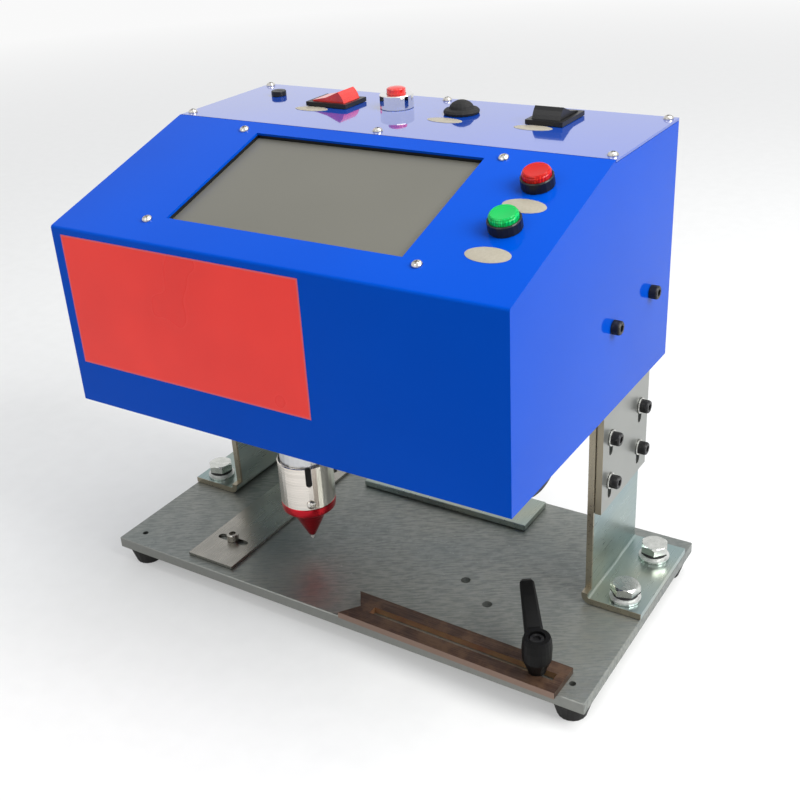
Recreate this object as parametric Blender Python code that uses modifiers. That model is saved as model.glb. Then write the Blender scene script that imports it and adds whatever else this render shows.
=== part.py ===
"""Nameplate marking machine: a bed plate with a height-adjustable marking unit over it.

World axes: X to the operator's right, Y to the rear, Z up.  All lengths are metres.  The sizes
and the builders measure from the centre of the bed plate's top face, where the work lies.  The
last step stands the machine on its table, with the origin under the middle of its footprint.
"""
import math

import bmesh
import bpy
from mathutils import Matrix, Vector

for old in list(bpy.data.objects):
    bpy.data.objects.remove(old, do_unlink=True)

# Shared clearances
SEAT = 0.0003
OVERRUN = 0.004
SOFT_EDGE = 0.0005
MERGE = 0.00001
FLAT = math.radians(0.1)

# Bed plate and rubber feet
BASE_WIDTH = 0.360
BASE_DEPTH = 0.180
BASE_THICKNESS = 0.008
FOOT_HEIGHT = 0.012
FOOT_TOP_R = 0.0125
FOOT_BOTTOM_R = 0.009
FOOT_INSET = 0.013
FOOT_RECESS_R = 0.005
FOOT_RECESS_DEPTH = 0.006
FOOT_HOLE_R = 0.0021
TABLE = -(FOOT_HEIGHT + SEAT + BASE_THICKNESS)
FOOT_X = BASE_WIDTH / 2 - FOOT_INSET
FOOT_Y = BASE_DEPTH / 2 - FOOT_INSET
SPARE_HOLE_R = 0.0033
SPARE_HOLE_1_X = 0.0645
SPARE_HOLE_1_Y = -0.0190
SPARE_HOLE_2_X = 0.0890
SPARE_HOLE_2_Y = -0.0350

# Bent brackets
BRACKET_FOOT = 0.0395
BRACKET_INNER_X = BASE_WIDTH / 2 - BRACKET_FOOT
BRACKET_THICKNESS = 0.004
BRACKET_FRONT_Y = -0.005
BRACKET_DEPTH = 0.080
BRACKET_HEIGHT = 0.145
BRACKET_BEND_R = 0.0055
RELIEF_DEPTH = 0.006
RELIEF_ABOVE = 0.0035
BOLT_INSET = 0.015
BOLT_X = BASE_WIDTH / 2 - BOLT_INSET
BOLT_FRONT_SET = 0.012
BOLT_PITCH = 0.050
BOLT_R = 0.005
BOLT_HOLE_R = 0.0055
BOLT_HEAD_ACROSS = 0.0163
BOLT_HEAD_HEIGHT = 0.0064
BOLT_HEAD_DISC_R = 0.0079
FLAT_WASHER_R = 0.010
FLAT_WASHER_T = 0.0018
SPRING_WASHER_R = 0.0081
SPRING_WASHER_T = 0.0026
BOLT_REACH = 0.0078

# Slotted side plates of the marking unit, and the screws in their slots
PLATE_THICKNESS = 0.004
PLATE_INNER_X = BRACKET_INNER_X + BRACKET_THICKNESS + SEAT
PLATE_OUTER_X = PLATE_INNER_X + PLATE_THICKNESS
PLATE_FRONT_SET = 0.0075
PLATE_DEPTH = 0.0725
PLATE_BOTTOM = 0.0636
WING_BOTTOM = 0.1500
WING_TOP = 0.2450
WING_FRONT_Y = -0.070
WING_REAR_Y = 0.085
SLIDE_SCREW_SET = 0.0201
SLIDE_SCREW_PITCH_Y = 0.0463
SLIDE_SCREW_LOW = 0.0817
SLIDE_SCREW_PITCH_Z = 0.0301
SLOT_WIDTH = 0.0056
SLOT_BELOW = 0.0093
SLOT_ABOVE = 0.0002
SCREW_R = 0.0025
SCREW_HOLE_R = 0.0028
SCREW_HEAD_R = 0.00425
SCREW_HEAD_HEIGHT = 0.005
SCREW_SOCKET_R = 0.0024
SCREW_SOCKET_DEPTH = 0.0026
SCREW_WASHER_R = 0.0050
SCREW_WASHER_T = 0.0010
SCREW_SEAT_DEPTH = 0.0036

# Painted sheet housing and its top panel
SHEET = 0.0015
HOUSING_OUTER_X = PLATE_OUTER_X + SEAT + SHEET
HOUSING_FRONT_Y = -0.1195
HOUSING_REAR_Y = 0.0975
HOUSING_BOTTOM = 0.1330
HOUSING_NOSE = 0.2470
HOUSING_ROOF = 0.2845
SLOPE_TOP_Y = 0.0020
HOUSING_BEND_R = 0.0020
ROOF_LIP = 0.0130
PANEL_GAP = 0.0008
SIDE_SCREW_FRONT_Y = 0.0064
SIDE_SCREW_PITCH = 0.0580
SIDE_SCREW_RISE = 0.1880
SLOPE_RUN = SLOPE_TOP_Y - HOUSING_FRONT_Y
SLOPE_RISE = HOUSING_ROOF - HOUSING_NOSE
SLOPE_ANGLE = math.atan2(SLOPE_RISE, SLOPE_RUN)

# Display behind the sloped panel
SCREEN_WIDTH = 0.158
SCREEN_HEIGHT = 0.092
SCREEN_START = 0.024
SCREEN_RECESS = 0.0040
FRAME_BORDER = 0.0050
DISPLAY_DEPTH = 0.016
GLASS_THICKNESS = 0.0030

# Round push buttons on the slope
BUTTON_SHARE = 0.7975
BUTTON_X = BUTTON_SHARE * HOUSING_OUTER_X
BUTTON_GREEN_UP = 0.0583
BUTTON_RED_UP = 0.0971
BEZEL_R = 0.0091
BEZEL_HEIGHT = 0.0062
BEZEL_WALL = 0.0009
BARREL_R = 0.0078
BARREL_LENGTH = 0.026
BARREL_HOLE_R = 0.0081
LENS_TOP = 0.0098
LENS_TRAVEL = 0.0025
LENS_LENGTH = 0.0090
STEM_R = 0.0030
STEM_LENGTH = 0.012

# Controls on the top panel
CONTROL_Y = 0.0655
CHROME_SHARE = 0.1567
CHROME_X = -CHROME_SHARE * HOUSING_OUTER_X
CHROME_R = 0.0109
CHROME_HEIGHT = 0.0088
CHROME_BARREL_R = 0.0093
CHROME_BARREL_LENGTH = 0.024
CHROME_CAP_R = 0.0061
CHROME_CAP_RISE = 0.0045
CHROME_CAP_CROWN = 0.0015
CHROME_BORE_R = 0.0064
ROCKER_LONG = 0.0312
ROCKER_SHORT = 0.0240
ROCKER_RIM = 0.0030
ROCKER_RIM_WALL = 0.0026
ROCKER_BODY_WALL = 0.0012
ROCKER_BODY_DEPTH = 0.020
ROCKER_SWING_R = 0.0126
ROCKER_CAP_WIDTH = 0.0182
ROCKER_VALLEY = 0.0060
ROCKER_RIDGE_ANGLE = math.radians(34)
ROCKER_TILT = math.radians(17)
ROCKER_SKIRT_ANGLE = math.radians(28)
POWER_SHARE = 0.4482
POWER_X = -POWER_SHARE * HOUSING_OUTER_X
POWER_Y = 0.0610
LIGHT_SHARE = 0.5644
LIGHT_X = LIGHT_SHARE * HOUSING_OUTER_X
LIGHT_Y = 0.0685
FUSE_SHARE = 0.7981
FUSE_X = -FUSE_SHARE * HOUSING_OUTER_X
FUSE_Y = 0.0683
FUSE_CAP_R = 0.0051
FUSE_CAP_HEIGHT = 0.0036
FUSE_CAP_SLOT = 0.0010
FUSE_SLOT_HALF = 0.0036
FUSE_STEM_R = 0.0038
SOCKET_SHARE = 0.1580
SOCKET_X = SOCKET_SHARE * HOUSING_OUTER_X
SOCKET_Y = 0.0650
DUST_CAP_R = 0.0114
DUST_CAP_LIP = 0.0026
DUST_CAP_DOME_R = 0.0078
DUST_CAP_HEIGHT = 0.0080
DUST_PLUG_R = 0.0055
DUST_PLUG_LENGTH = 0.006

# Rear stop plate, side fence, clamp bar and its lever
FENCE_OVERLAP = 0.0205
FENCE_LEFT_X = FENCE_OVERLAP - BRACKET_INNER_X
FENCE_WIDTH = 0.0380
FENCE_FRONT_Y = -0.0830
FENCE_LENGTH = 0.1660
FENCE_THICKNESS = 0.0020
FENCE_SLOT_SET = 0.0180
FENCE_SLOT_X = FENCE_LEFT_X + FENCE_SLOT_SET
FENCE_SLOT_FRONT_Y = -0.0565
FENCE_SLOT_PITCH = 0.1100
FENCE_SLOT_LENGTH = 0.0255
FENCE_SLOT_WIDTH = 0.0056
STOP_SET = 0.0215
STOP_LEFT_X = FENCE_LEFT_X + FENCE_WIDTH + STOP_SET
STOP_WIDTH = 0.1340
STOP_FRONT_Y = 0.0495
STOP_DEPTH = 0.0350
STOP_THICKNESS = 0.0045
STUD_INSET = 0.0335
STUD_X = BASE_WIDTH / 2 - STUD_INSET
BAR_REACH = 0.1339
BAR_LEFT_X = STUD_X - BAR_REACH
BAR_LENGTH = 0.1510
BAR_WIDTH = 0.0252
BAR_THICKNESS = 0.0042
BAR_TURN = math.radians(-1.1)
BAR_NOTCH_DEPTH = 0.0090
BAR_SLOT_START = 0.0178
BAR_SLOT_LENGTH = 0.1275
BAR_SLOT_WIDTH = 0.0063
STUD_Y = -0.0815
STUD_R = 0.0030
LEVER_FOOT_R = 0.0053
LEVER_HUB_R = 0.0090
LEVER_TOP_R = 0.0078
LEVER_HUB_HEIGHT = 0.0247
LEVER_RECESS_R = 0.0050
LEVER_RECESS_DEPTH = 0.0045
LEVER_BORE_R = 0.0034
LEVER_ARM_LENGTH = 0.0450
LEVER_ARM_RISE = 0.0302
LEVER_ARM_TURN = math.radians(124)
LEVER_ARM_ROOT_WIDTH = 0.0120
LEVER_ARM_TIP_WIDTH = 0.0086
LEVER_ARM_ROOT_THICK = 0.0090
LEVER_ARM_TIP_THICK = 0.0056
LEVER_ARM_EDGE_SHARE = 0.2
LEVER_ARM_START_SHARE = 0.62
LEVER_NECK_SHARE = 0.10
LEVER_BELLY_SHARE = 0.38
LEVER_WAIST_SHARE = 0.70
LEVER_NECK_R = 0.0059
LEVER_BELLY_R = 0.0087
LEVER_SHOULDER_R = 0.0086
# Each section of the arm: its share of the reach, of the rise and of the size
LEVER_ARM_SHARES = ((0.15, 0.00, 1.00), (0.30, 0.12, 1.00), (0.50, 0.42, 1.00),
                    (0.72, 0.73, 1.00), (0.95, 0.98, 1.00), (1.00, 1.00, 0.80))
INSERT_HEAD_R = 0.0042
INSERT_HEAD_HEIGHT = 0.0030

# Marking head
HEAD_SHARE = 0.3156
HEAD_X = -HEAD_SHARE * PLATE_INNER_X
HEAD_Y = -0.0370
HEAD_R = 0.0185
SLEEVE_BOTTOM = 0.0440
SLEEVE_LENGTH = 0.0315
SLEEVE_WALL = 0.0017
SLEEVE_SLOT_WIDTH = 0.0042
SLEEVE_SLOT_DEPTH = 0.0140
SLEEVE_SLOT_TURN = math.radians(-47)
CORE_TOP = 0.2150
CORE_WALL = 0.0030
CORE_CAVITY = 0.0500
NOSE_STEP = 0.0065
NOSE_STEP_R = 0.0165
NOSE_CONE_R = 0.0090
NOSE_TIP_R = 0.0021
NOSE_TIP = 0.0112
PIN_R = 0.0012
PIN_BORE_R = 0.0015
PIN_TIP = 0.0082
PIN_POINT = 0.0018
ARMATURE_R = 0.0050
ARMATURE_BOTTOM = SLEEVE_BOTTOM + 0.0140
ARMATURE_LENGTH = 0.0220
COIL_INNER_R = 0.0056
COIL_START = 0.0180
COIL_LENGTH = 0.0260

# Gantry that carries the head
GANTRY_LOW = 0.1600
GANTRY_TALL = 0.0300
RAIL_TALL = 0.0120
RAIL_LOW = GANTRY_LOW + (GANTRY_TALL - RAIL_TALL) / 2
RAIL_HIGH = RAIL_LOW + RAIL_TALL
RAIL_THICK = 0.0080
Y_RAIL_LENGTH = 0.1480
BEAM_FRONT_Y = -0.0120
BEAM_THICK = 0.0200
RUNNER_WRAP = 0.0045
RUNNER_LENGTH = 0.0380
RUNNER_THICK = 0.0130
X_RAIL_SET = 0.0348
X_RAIL_LENGTH = 2 * (PLATE_INNER_X - X_RAIL_SET)
CARRIAGE_WIDTH = 0.0480
CARRIAGE_FRONT_Y = -0.0280
CLAMP_RING_R = 0.0215
LEAD_R = 0.0040
LEAD_HOLE_R = 0.0043
LEAD_RISE = 0.0250
LEAD_HEIGHT = GANTRY_LOW + GANTRY_TALL + LEAD_RISE
X_LEAD_Y = -0.0060
X_LEAD_LEFT_SET = 0.0388
X_LEAD_LEFT_X = X_LEAD_LEFT_SET - PLATE_INNER_X
X_LEAD_RIGHT_SET = 0.0658
X_LEAD_RIGHT_X = PLATE_INNER_X - X_LEAD_RIGHT_SET
LUG_THICK = 0.0060
LUG_HALF = 0.0080
LUG_FRONT = 0.0050
MOTOR_SIZE = 0.0400
MOTOR_LENGTH = 0.0320
MOTOR_PILOT_R = 0.0100
MOTOR_PILOT = 0.0018
MOTOR_CORNER = 0.0040
Y_LEAD_SET = 0.0248
Y_LEAD_X = Y_LEAD_SET - PLATE_INNER_X
Y_LEAD_FRONT_Y = -0.0620
CROSS_PLATE_Y = 0.0560
CROSS_PLATE_THICK = 0.0040
WEB_SET = 0.0030
NUT_HALF = 0.0075
SUPPLY_WIDTH_SHARE = 0.8287
SUPPLY_WIDTH = SUPPLY_WIDTH_SHARE * PLATE_INNER_X
SUPPLY_DEPTH = 0.0300
SUPPLY_HEIGHT = 0.0800
SIDE_SHARE = 0.4834
SUPPLY_LEFT_X = -SIDE_SHARE * PLATE_INNER_X
BOARD_WIDTH = SIDE_SHARE * PLATE_INNER_X
BOARD_THICK = 0.0016
BOARD_HEIGHT = 0.0800
BOARD_STANDOFF = 0.0060
BOARD_POST_R = 0.0030
BOARD_POST_SET = 0.0060

# Wiring loop that hangs just below the housing's right edge
LOOP_R = 0.0036
LOOP_SET = 0.0108
LOOP_X = PLATE_INNER_X - LOOP_SET
LOOP_CLAMP = 0.0120
LOOP_STEPS = 24
LOOP_TOP = 0.1470
LOOP_FRONT_Y = -0.0680
LOOP_REAR_Y = -0.0180
LOOP_DROP = 0.0334


# Collections
def new_collection(name):
    found = bpy.data.collections.get(name)
    if found is None:
        found = bpy.data.collections.new(name)
        bpy.context.scene.collection.children.link(found)
    return found


PARTS = new_collection("nameplate_marking_machine")
CUTTERS = new_collection("cutters")
CUTTERS.hide_render = True


# Materials: name, colour, roughness, metallic
def make_material(name, colour, roughness, metallic):
    material = bpy.data.materials.new(name)
    material.use_nodes = True
    shader = material.node_tree.nodes["Principled BSDF"]
    shader.inputs["Base Color"].default_value = (*colour, 1.0)
    shader.inputs["Roughness"].default_value = roughness
    shader.inputs["Metallic"].default_value = metallic
    material.diffuse_color = (*colour, 1.0)
    return material


ZINC = ((0.45, 0.50, 0.50), 0.38, 0.9)
STAINLESS = ((0.60, 0.58, 0.55), 0.30, 1.0)
BLACK_STEEL = ((0.02, 0.02, 0.02), 0.45, 0.4)
BROWN_STEEL = ((0.09, 0.045, 0.025), 0.50, 0.6)
BLUE_PAINT = ((0.01, 0.09, 0.60), 0.22, 0.0)
BLACK_PLASTIC = ((0.012, 0.012, 0.013), 0.35, 0.0)
RUBBER_LOOK = ((0.02, 0.02, 0.02), 0.80, 0.0)
CHROME_LOOK = ((0.80, 0.80, 0.80), 0.06, 1.0)
RED_PLASTIC = ((0.70, 0.05, 0.03), 0.25, 0.0)
GREEN_PLASTIC = ((0.02, 0.60, 0.13), 0.25, 0.0)
RED_ANODISED = ((0.50, 0.01, 0.02), 0.25, 0.8)
SCREEN_LOOK = ((0.24, 0.23, 0.18), 0.30, 0.0)
BOARD_LOOK = ((0.02, 0.20, 0.08), 0.50, 0.0)
ALUMINIUM_LOOK = ((0.62, 0.63, 0.64), 0.35, 0.9)
COPPER_LOOK = ((0.55, 0.22, 0.10), 0.35, 0.9)


# Mesh helpers
def add_object(name, mesh, look, place=(0, 0, 0)):
    body = bpy.data.objects.new(name, mesh)
    if look is None:
        CUTTERS.objects.link(body)
        body.hide_render = True
        body.display_type = "WIRE"
    else:
        PARTS.objects.link(body)
        mesh.materials.clear()
        mesh.materials.append(make_material(name, *look))
    body.location = place
    return body


def mesh_from(build, name):
    mesh = bpy.data.meshes.new(name)
    work = bmesh.new()
    build(work)
    bmesh.ops.recalc_face_normals(work, faces=work.faces[:])
    work.to_mesh(mesh)
    work.free()
    return mesh


def block(name, look, low, high):
    """A box between two opposite corners, with its origin at its centre."""
    size = [high[axis] - low[axis] for axis in range(3)]
    middle = [(high[axis] + low[axis]) / 2 for axis in range(3)]

    def build(work):
        bmesh.ops.create_cube(work, size=1, matrix=Matrix.Diagonal((*size, 1)))

    return add_object(name, mesh_from(build, name), look, middle)


def rod(name, look, radius, start, end, sides=24):
    """A cylinder from one point to another along any direction."""
    start, end = Vector(start), Vector(end)
    along = end - start
    turn = along.to_track_quat("Z", "Y").to_matrix().to_4x4()

    def build(work):
        bmesh.ops.create_cone(work, cap_ends=True, segments=sides, radius1=radius,
                              radius2=radius, depth=along.length, matrix=turn)

    return add_object(name, mesh_from(build, name), look, (start + end) / 2)


def turned(name, look, profile, place, sides=32):
    """A lathe shape.  The profile of (radius, height) runs down the outer side."""
    closed = profile[0][0] > 0
    mesh = bpy.data.meshes.new(name)
    edges = [(index, index + 1) for index in range(len(profile) - 1)]
    if closed:
        edges.append((len(profile) - 1, 0))
    mesh.from_pydata([(radius, 0, height) for radius, height in profile], edges, [])
    body = add_object(name, mesh, look, place)
    screw = body.modifiers.new("turn", "SCREW")
    screw.axis = "Z"
    screw.angle = math.tau
    screw.steps = sides
    screw.render_steps = sides
    screw.use_merge_vertices = True
    screw.merge_threshold = MERGE
    screw.use_smooth_shade = False
    return body


def extruded(name, look, outline, thickness, frame):
    """A flat outline given thickness and placed by a matrix."""
    curve = bpy.data.curves.new(name, "CURVE")
    curve.dimensions = "2D"
    curve.fill_mode = "BOTH"
    curve.extrude = thickness / 2
    curve.resolution_u = 1
    spline = curve.splines.new("POLY")
    spline.points.add(len(outline) - 1)
    for point, (across, up) in zip(spline.points, outline):
        point.co = (across, up, 0, 1)
    spline.use_cyclic_u = True
    source = bpy.data.objects.new(name + "_outline", curve)
    bpy.context.scene.collection.objects.link(source)
    graph = bpy.context.evaluated_depsgraph_get()
    mesh = bpy.data.meshes.new_from_object(source.evaluated_get(graph))
    work = bmesh.new()
    work.from_mesh(mesh)
    bmesh.ops.remove_doubles(work, verts=work.verts[:], dist=MERGE)
    bmesh.ops.dissolve_limit(work, angle_limit=FLAT, verts=work.verts[:], edges=work.edges[:])
    bmesh.ops.recalc_face_normals(work, faces=work.faces[:])
    work.to_mesh(mesh)
    work.free()
    bpy.data.objects.remove(source, do_unlink=True)
    body = add_object(name, mesh, look)
    body.matrix_world = frame
    return body


def arc(centre, radius, start, end, steps):
    """Points on an arc, angles in radians."""
    return [(centre[0] + radius * math.cos(start + (end - start) * step / steps),
             centre[1] + radius * math.sin(start + (end - start) * step / steps))
            for step in range(steps + 1)]


def boolean(target, tool, operation="DIFFERENCE"):
    step = target.modifiers.new(tool.name, "BOOLEAN")
    step.operation = operation
    step.solver = "EXACT"
    step.object = tool
    return target


def soften(target, width=SOFT_EDGE, segments=1, angle=math.radians(40)):
    step = target.modifiers.new("soft_edges", "BEVEL")
    step.width = width
    step.segments = segments
    step.limit_method = "ANGLE"
    step.angle_limit = angle
    return target


def round_corners(target, width):
    """Round the long upright edges of a sheet shell."""
    mesh = target.data
    weights = mesh.attributes.new("bevel_weight_edge", "FLOAT", "EDGE")
    for edge in mesh.edges:
        first, second = (target.matrix_world @ mesh.vertices[corner].co
                         for corner in edge.vertices)
        along = first - second
        upright = along.cross(Vector((0, 0, 1))).length < width
        weights.data[edge.index].value = float(upright and along.length > 2 * width)
    step = target.modifiers.new("bends", "BEVEL")
    step.width = width
    step.segments = 3
    step.limit_method = "WEIGHT"
    return target


def hole(target, name, radius, start, end, sides=24):
    return boolean(target, rod(name, None, radius, start, end, sides))


def pocket(target, name, low, high):
    return boolean(target, block(name, None, low, high))


def grow(target, name, low, high):
    """Join a box to the target."""
    return boolean(target, block(name, None, low, high), "UNION")


# The XZ plane drawn in a curve's own XY, so that an outline extrudes along Y
UPRIGHT = Matrix(((1, 0, 0, 0), (0, 0, -1, 0), (0, 1, 0, 0), (0, 0, 0, 1)))
# The YZ plane drawn in a curve's own XY, so that an outline extrudes along X
SIDEWAYS = Matrix(((0, 0, 1, 0), (1, 0, 0, 0), (0, 1, 0, 0), (0, 0, 0, 1)))
# The sloped panel: X across, Y up the slope, Z out of the sheet
SLOPE_FRAME = (Matrix.Translation((0, HOUSING_FRONT_Y, HOUSING_NOSE))
               @ Matrix.Rotation(SLOPE_ANGLE, 4, "X"))


# Base plate: tapped for the stud, the spare stud places, the bolts and the feet
def build_base():
    low = (-BASE_WIDTH / 2, -BASE_DEPTH / 2, -BASE_THICKNESS)
    high = (BASE_WIDTH / 2, BASE_DEPTH / 2, 0)
    plate = soften(block("base_plate", ZINC, low, high))
    under = -BASE_THICKNESS - OVERRUN
    over = OVERRUN
    holes = [("stud_hole", STUD_X, STUD_Y, STUD_R + SEAT),
             ("spare_hole_1", SPARE_HOLE_1_X, SPARE_HOLE_1_Y, SPARE_HOLE_R),
             ("spare_hole_2", SPARE_HOLE_2_X, SPARE_HOLE_2_Y, SPARE_HOLE_R)]
    for side in (-1, 1):
        for end in (-1, 1):
            holes.append((f"foot_hole_{side}_{end}", side * FOOT_X, end * FOOT_Y, FOOT_HOLE_R))
        for number in range(2):
            holes.append((f"bolt_tap_{side}_{number}", side * BOLT_X,
                          bolt_y(number), BOLT_R + SEAT))
    for index in range(2):
        holes.append((f"fence_tap_{index}", FENCE_SLOT_X, fence_slot_y(index),
                      SCREW_R + SEAT))
    for name, across, along, radius in holes:
        hole(plate, name, radius, (across, along, under), (across, along, over), 14)
    return plate


def bolt_y(number):
    return BRACKET_FRONT_Y + BOLT_FRONT_SET + number * BOLT_PITCH


def fence_slot_y(index):
    return FENCE_SLOT_FRONT_Y + index * FENCE_SLOT_PITCH


def build_feet():
    for side, side_name in ((-1, "left"), (1, "right")):
        for end, end_name in ((-1, "front"), (1, "rear")):
            turned(f"foot_{end_name}_{side_name}", RUBBER_LOOK,
                   [(FOOT_HOLE_R, FOOT_HEIGHT), (FOOT_TOP_R, FOOT_HEIGHT),
                    (FOOT_BOTTOM_R, 0), (FOOT_RECESS_R, 0),
                    (FOOT_RECESS_R, FOOT_RECESS_DEPTH), (FOOT_HOLE_R, FOOT_RECESS_DEPTH)],
                   (side * FOOT_X, end * FOOT_Y, TABLE), 18)


# Brackets: an L outline run along Y, with a relief cut where the upright starts
def build_bracket(side, name):
    foot_end = BASE_WIDTH / 2
    inner, thick = BRACKET_INNER_X, BRACKET_THICKNESS
    floor = SEAT
    outline = [(foot_end, floor), (foot_end, floor + thick)]
    outline += arc((inner + BRACKET_BEND_R, floor + BRACKET_BEND_R), BRACKET_BEND_R - thick,
                   -math.pi / 2, -math.pi, 3)
    outline += [(inner + thick, BRACKET_HEIGHT), (inner, BRACKET_HEIGHT)]
    outline += arc((inner + BRACKET_BEND_R, floor + BRACKET_BEND_R), BRACKET_BEND_R,
                   -math.pi, -math.pi / 2, 6)
    outline = [(side * across, up) for across, up in outline]
    middle = BRACKET_FRONT_Y + BRACKET_DEPTH / 2
    bracket = extruded(name, ZINC, outline, BRACKET_DEPTH,
                       Matrix.Translation((0, middle, 0)) @ UPRIGHT)
    relief_low = (side * inner - OVERRUN, BRACKET_FRONT_Y - OVERRUN, floor + thick + RELIEF_ABOVE)
    relief_high = (side * inner + OVERRUN, BRACKET_FRONT_Y + RELIEF_DEPTH,
                   BRACKET_HEIGHT + OVERRUN)
    widen = side * thick
    low_x, high_x = sorted((relief_low[0] + min(widen, 0), relief_high[0] + max(widen, 0)))
    pocket(bracket, name + "_relief", (low_x, *relief_low[1:]), (high_x, *relief_high[1:]))
    for number in range(2):
        hole(bracket, f"{name}_bolt_hole_{number}", BOLT_HOLE_R,
             (side * BOLT_X, bolt_y(number), floor - OVERRUN),
             (side * BOLT_X, bolt_y(number), floor + thick + OVERRUN), 16)
    for column in range(2):
        for row in range(2):
            along, up = slide_screw_place(column, row)
            hole(bracket, f"{name}_tap_{column}_{row}", SCREW_HOLE_R,
                 (side * (inner - OVERRUN), along, up),
                 (side * (inner + thick + OVERRUN), along, up), 12)
    return bracket


def slide_screw_place(column, row):
    return (BRACKET_FRONT_Y + SLIDE_SCREW_SET + column * SLIDE_SCREW_PITCH_Y,
            SLIDE_SCREW_LOW + row * SLIDE_SCREW_PITCH_Z)


# Hex bolt with its flat and spring washers, turned as the photo shows
def build_bolt(name, side, number, turn):
    seat = SEAT + BRACKET_THICKNESS + SEAT
    washers = FLAT_WASHER_T + SPRING_WASHER_T
    head_low = seat + washers

    def build(work):
        bmesh.ops.create_cone(work, cap_ends=True, segments=6,
                              radius1=BOLT_HEAD_ACROSS / math.sqrt(3),
                              radius2=BOLT_HEAD_ACROSS / math.sqrt(3), depth=BOLT_HEAD_HEIGHT,
                              matrix=Matrix.Rotation(turn, 4, "Z"))

    place = (side * BOLT_X, bolt_y(number), head_low + BOLT_HEAD_HEIGHT / 2)
    bolt = add_object(name, mesh_from(build, name), ZINC, place)
    chamfer = turned(name + "_chamfer", None,
                     [(0, BOLT_HEAD_HEIGHT / 2), (BOLT_HEAD_DISC_R, BOLT_HEAD_HEIGHT / 2),
                      (BOLT_HEAD_ACROSS, -BOLT_HEAD_HEIGHT / 2), (0, -BOLT_HEAD_HEIGHT / 2)],
                     place, 18)
    boolean(bolt, chamfer, "INTERSECT")
    ring = turned(name + "_washers", None,
                  [(0, head_low + SEAT), (SPRING_WASHER_R, head_low + SEAT),
                   (SPRING_WASHER_R, seat + FLAT_WASHER_T),
                   (FLAT_WASHER_R, seat + FLAT_WASHER_T), (FLAT_WASHER_R, seat),
                   (BOLT_R, seat), (BOLT_R, seat - BRACKET_THICKNESS - BOLT_REACH),
                   (0, seat - BRACKET_THICKNESS - BOLT_REACH)],
                  (side * BOLT_X, bolt_y(number), 0), 20)
    boolean(bolt, ring, "UNION")
    return bolt


# Socket-head cap screw with a washer; it points along -direction
def build_cap_screw(name, look, under_head, direction, reach, washer=True):
    profile = [(0, SCREW_HEAD_HEIGHT - SCREW_SOCKET_DEPTH),
               (SCREW_SOCKET_R, SCREW_HEAD_HEIGHT - SCREW_SOCKET_DEPTH),
               (SCREW_SOCKET_R, SCREW_HEAD_HEIGHT),
               (SCREW_HEAD_R - SOFT_EDGE, SCREW_HEAD_HEIGHT),
               (SCREW_HEAD_R, SCREW_HEAD_HEIGHT - SOFT_EDGE), (SCREW_HEAD_R, 0)]
    if washer:
        profile += [(SCREW_WASHER_R, 0), (SCREW_WASHER_R, -SCREW_WASHER_T)]
    bottom = -SCREW_WASHER_T if washer else 0
    profile += [(SCREW_R, bottom), (SCREW_R, bottom - reach), (0, bottom - reach)]
    screw = turned(name, look, profile, under_head, 14)
    screw.rotation_euler = Vector(direction).to_track_quat("Z", "Y").to_euler()
    return screw


def build_slide_screws():
    for side, side_name in ((-1, "left"), (1, "right")):
        for column, column_name in enumerate(("front", "rear")):
            for row, row_name in enumerate(("low", "high")):
                along, up = slide_screw_place(column, row)
                under = side * (PLATE_OUTER_X + SEAT + SCREW_WASHER_T)
                build_cap_screw(f"slide_screw_{side_name}_{column_name}_{row_name}",
                                BLACK_STEEL, (under, along, up), (side, 0, 0),
                                SCREW_SEAT_DEPTH + PLATE_THICKNESS + SEAT)


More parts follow.
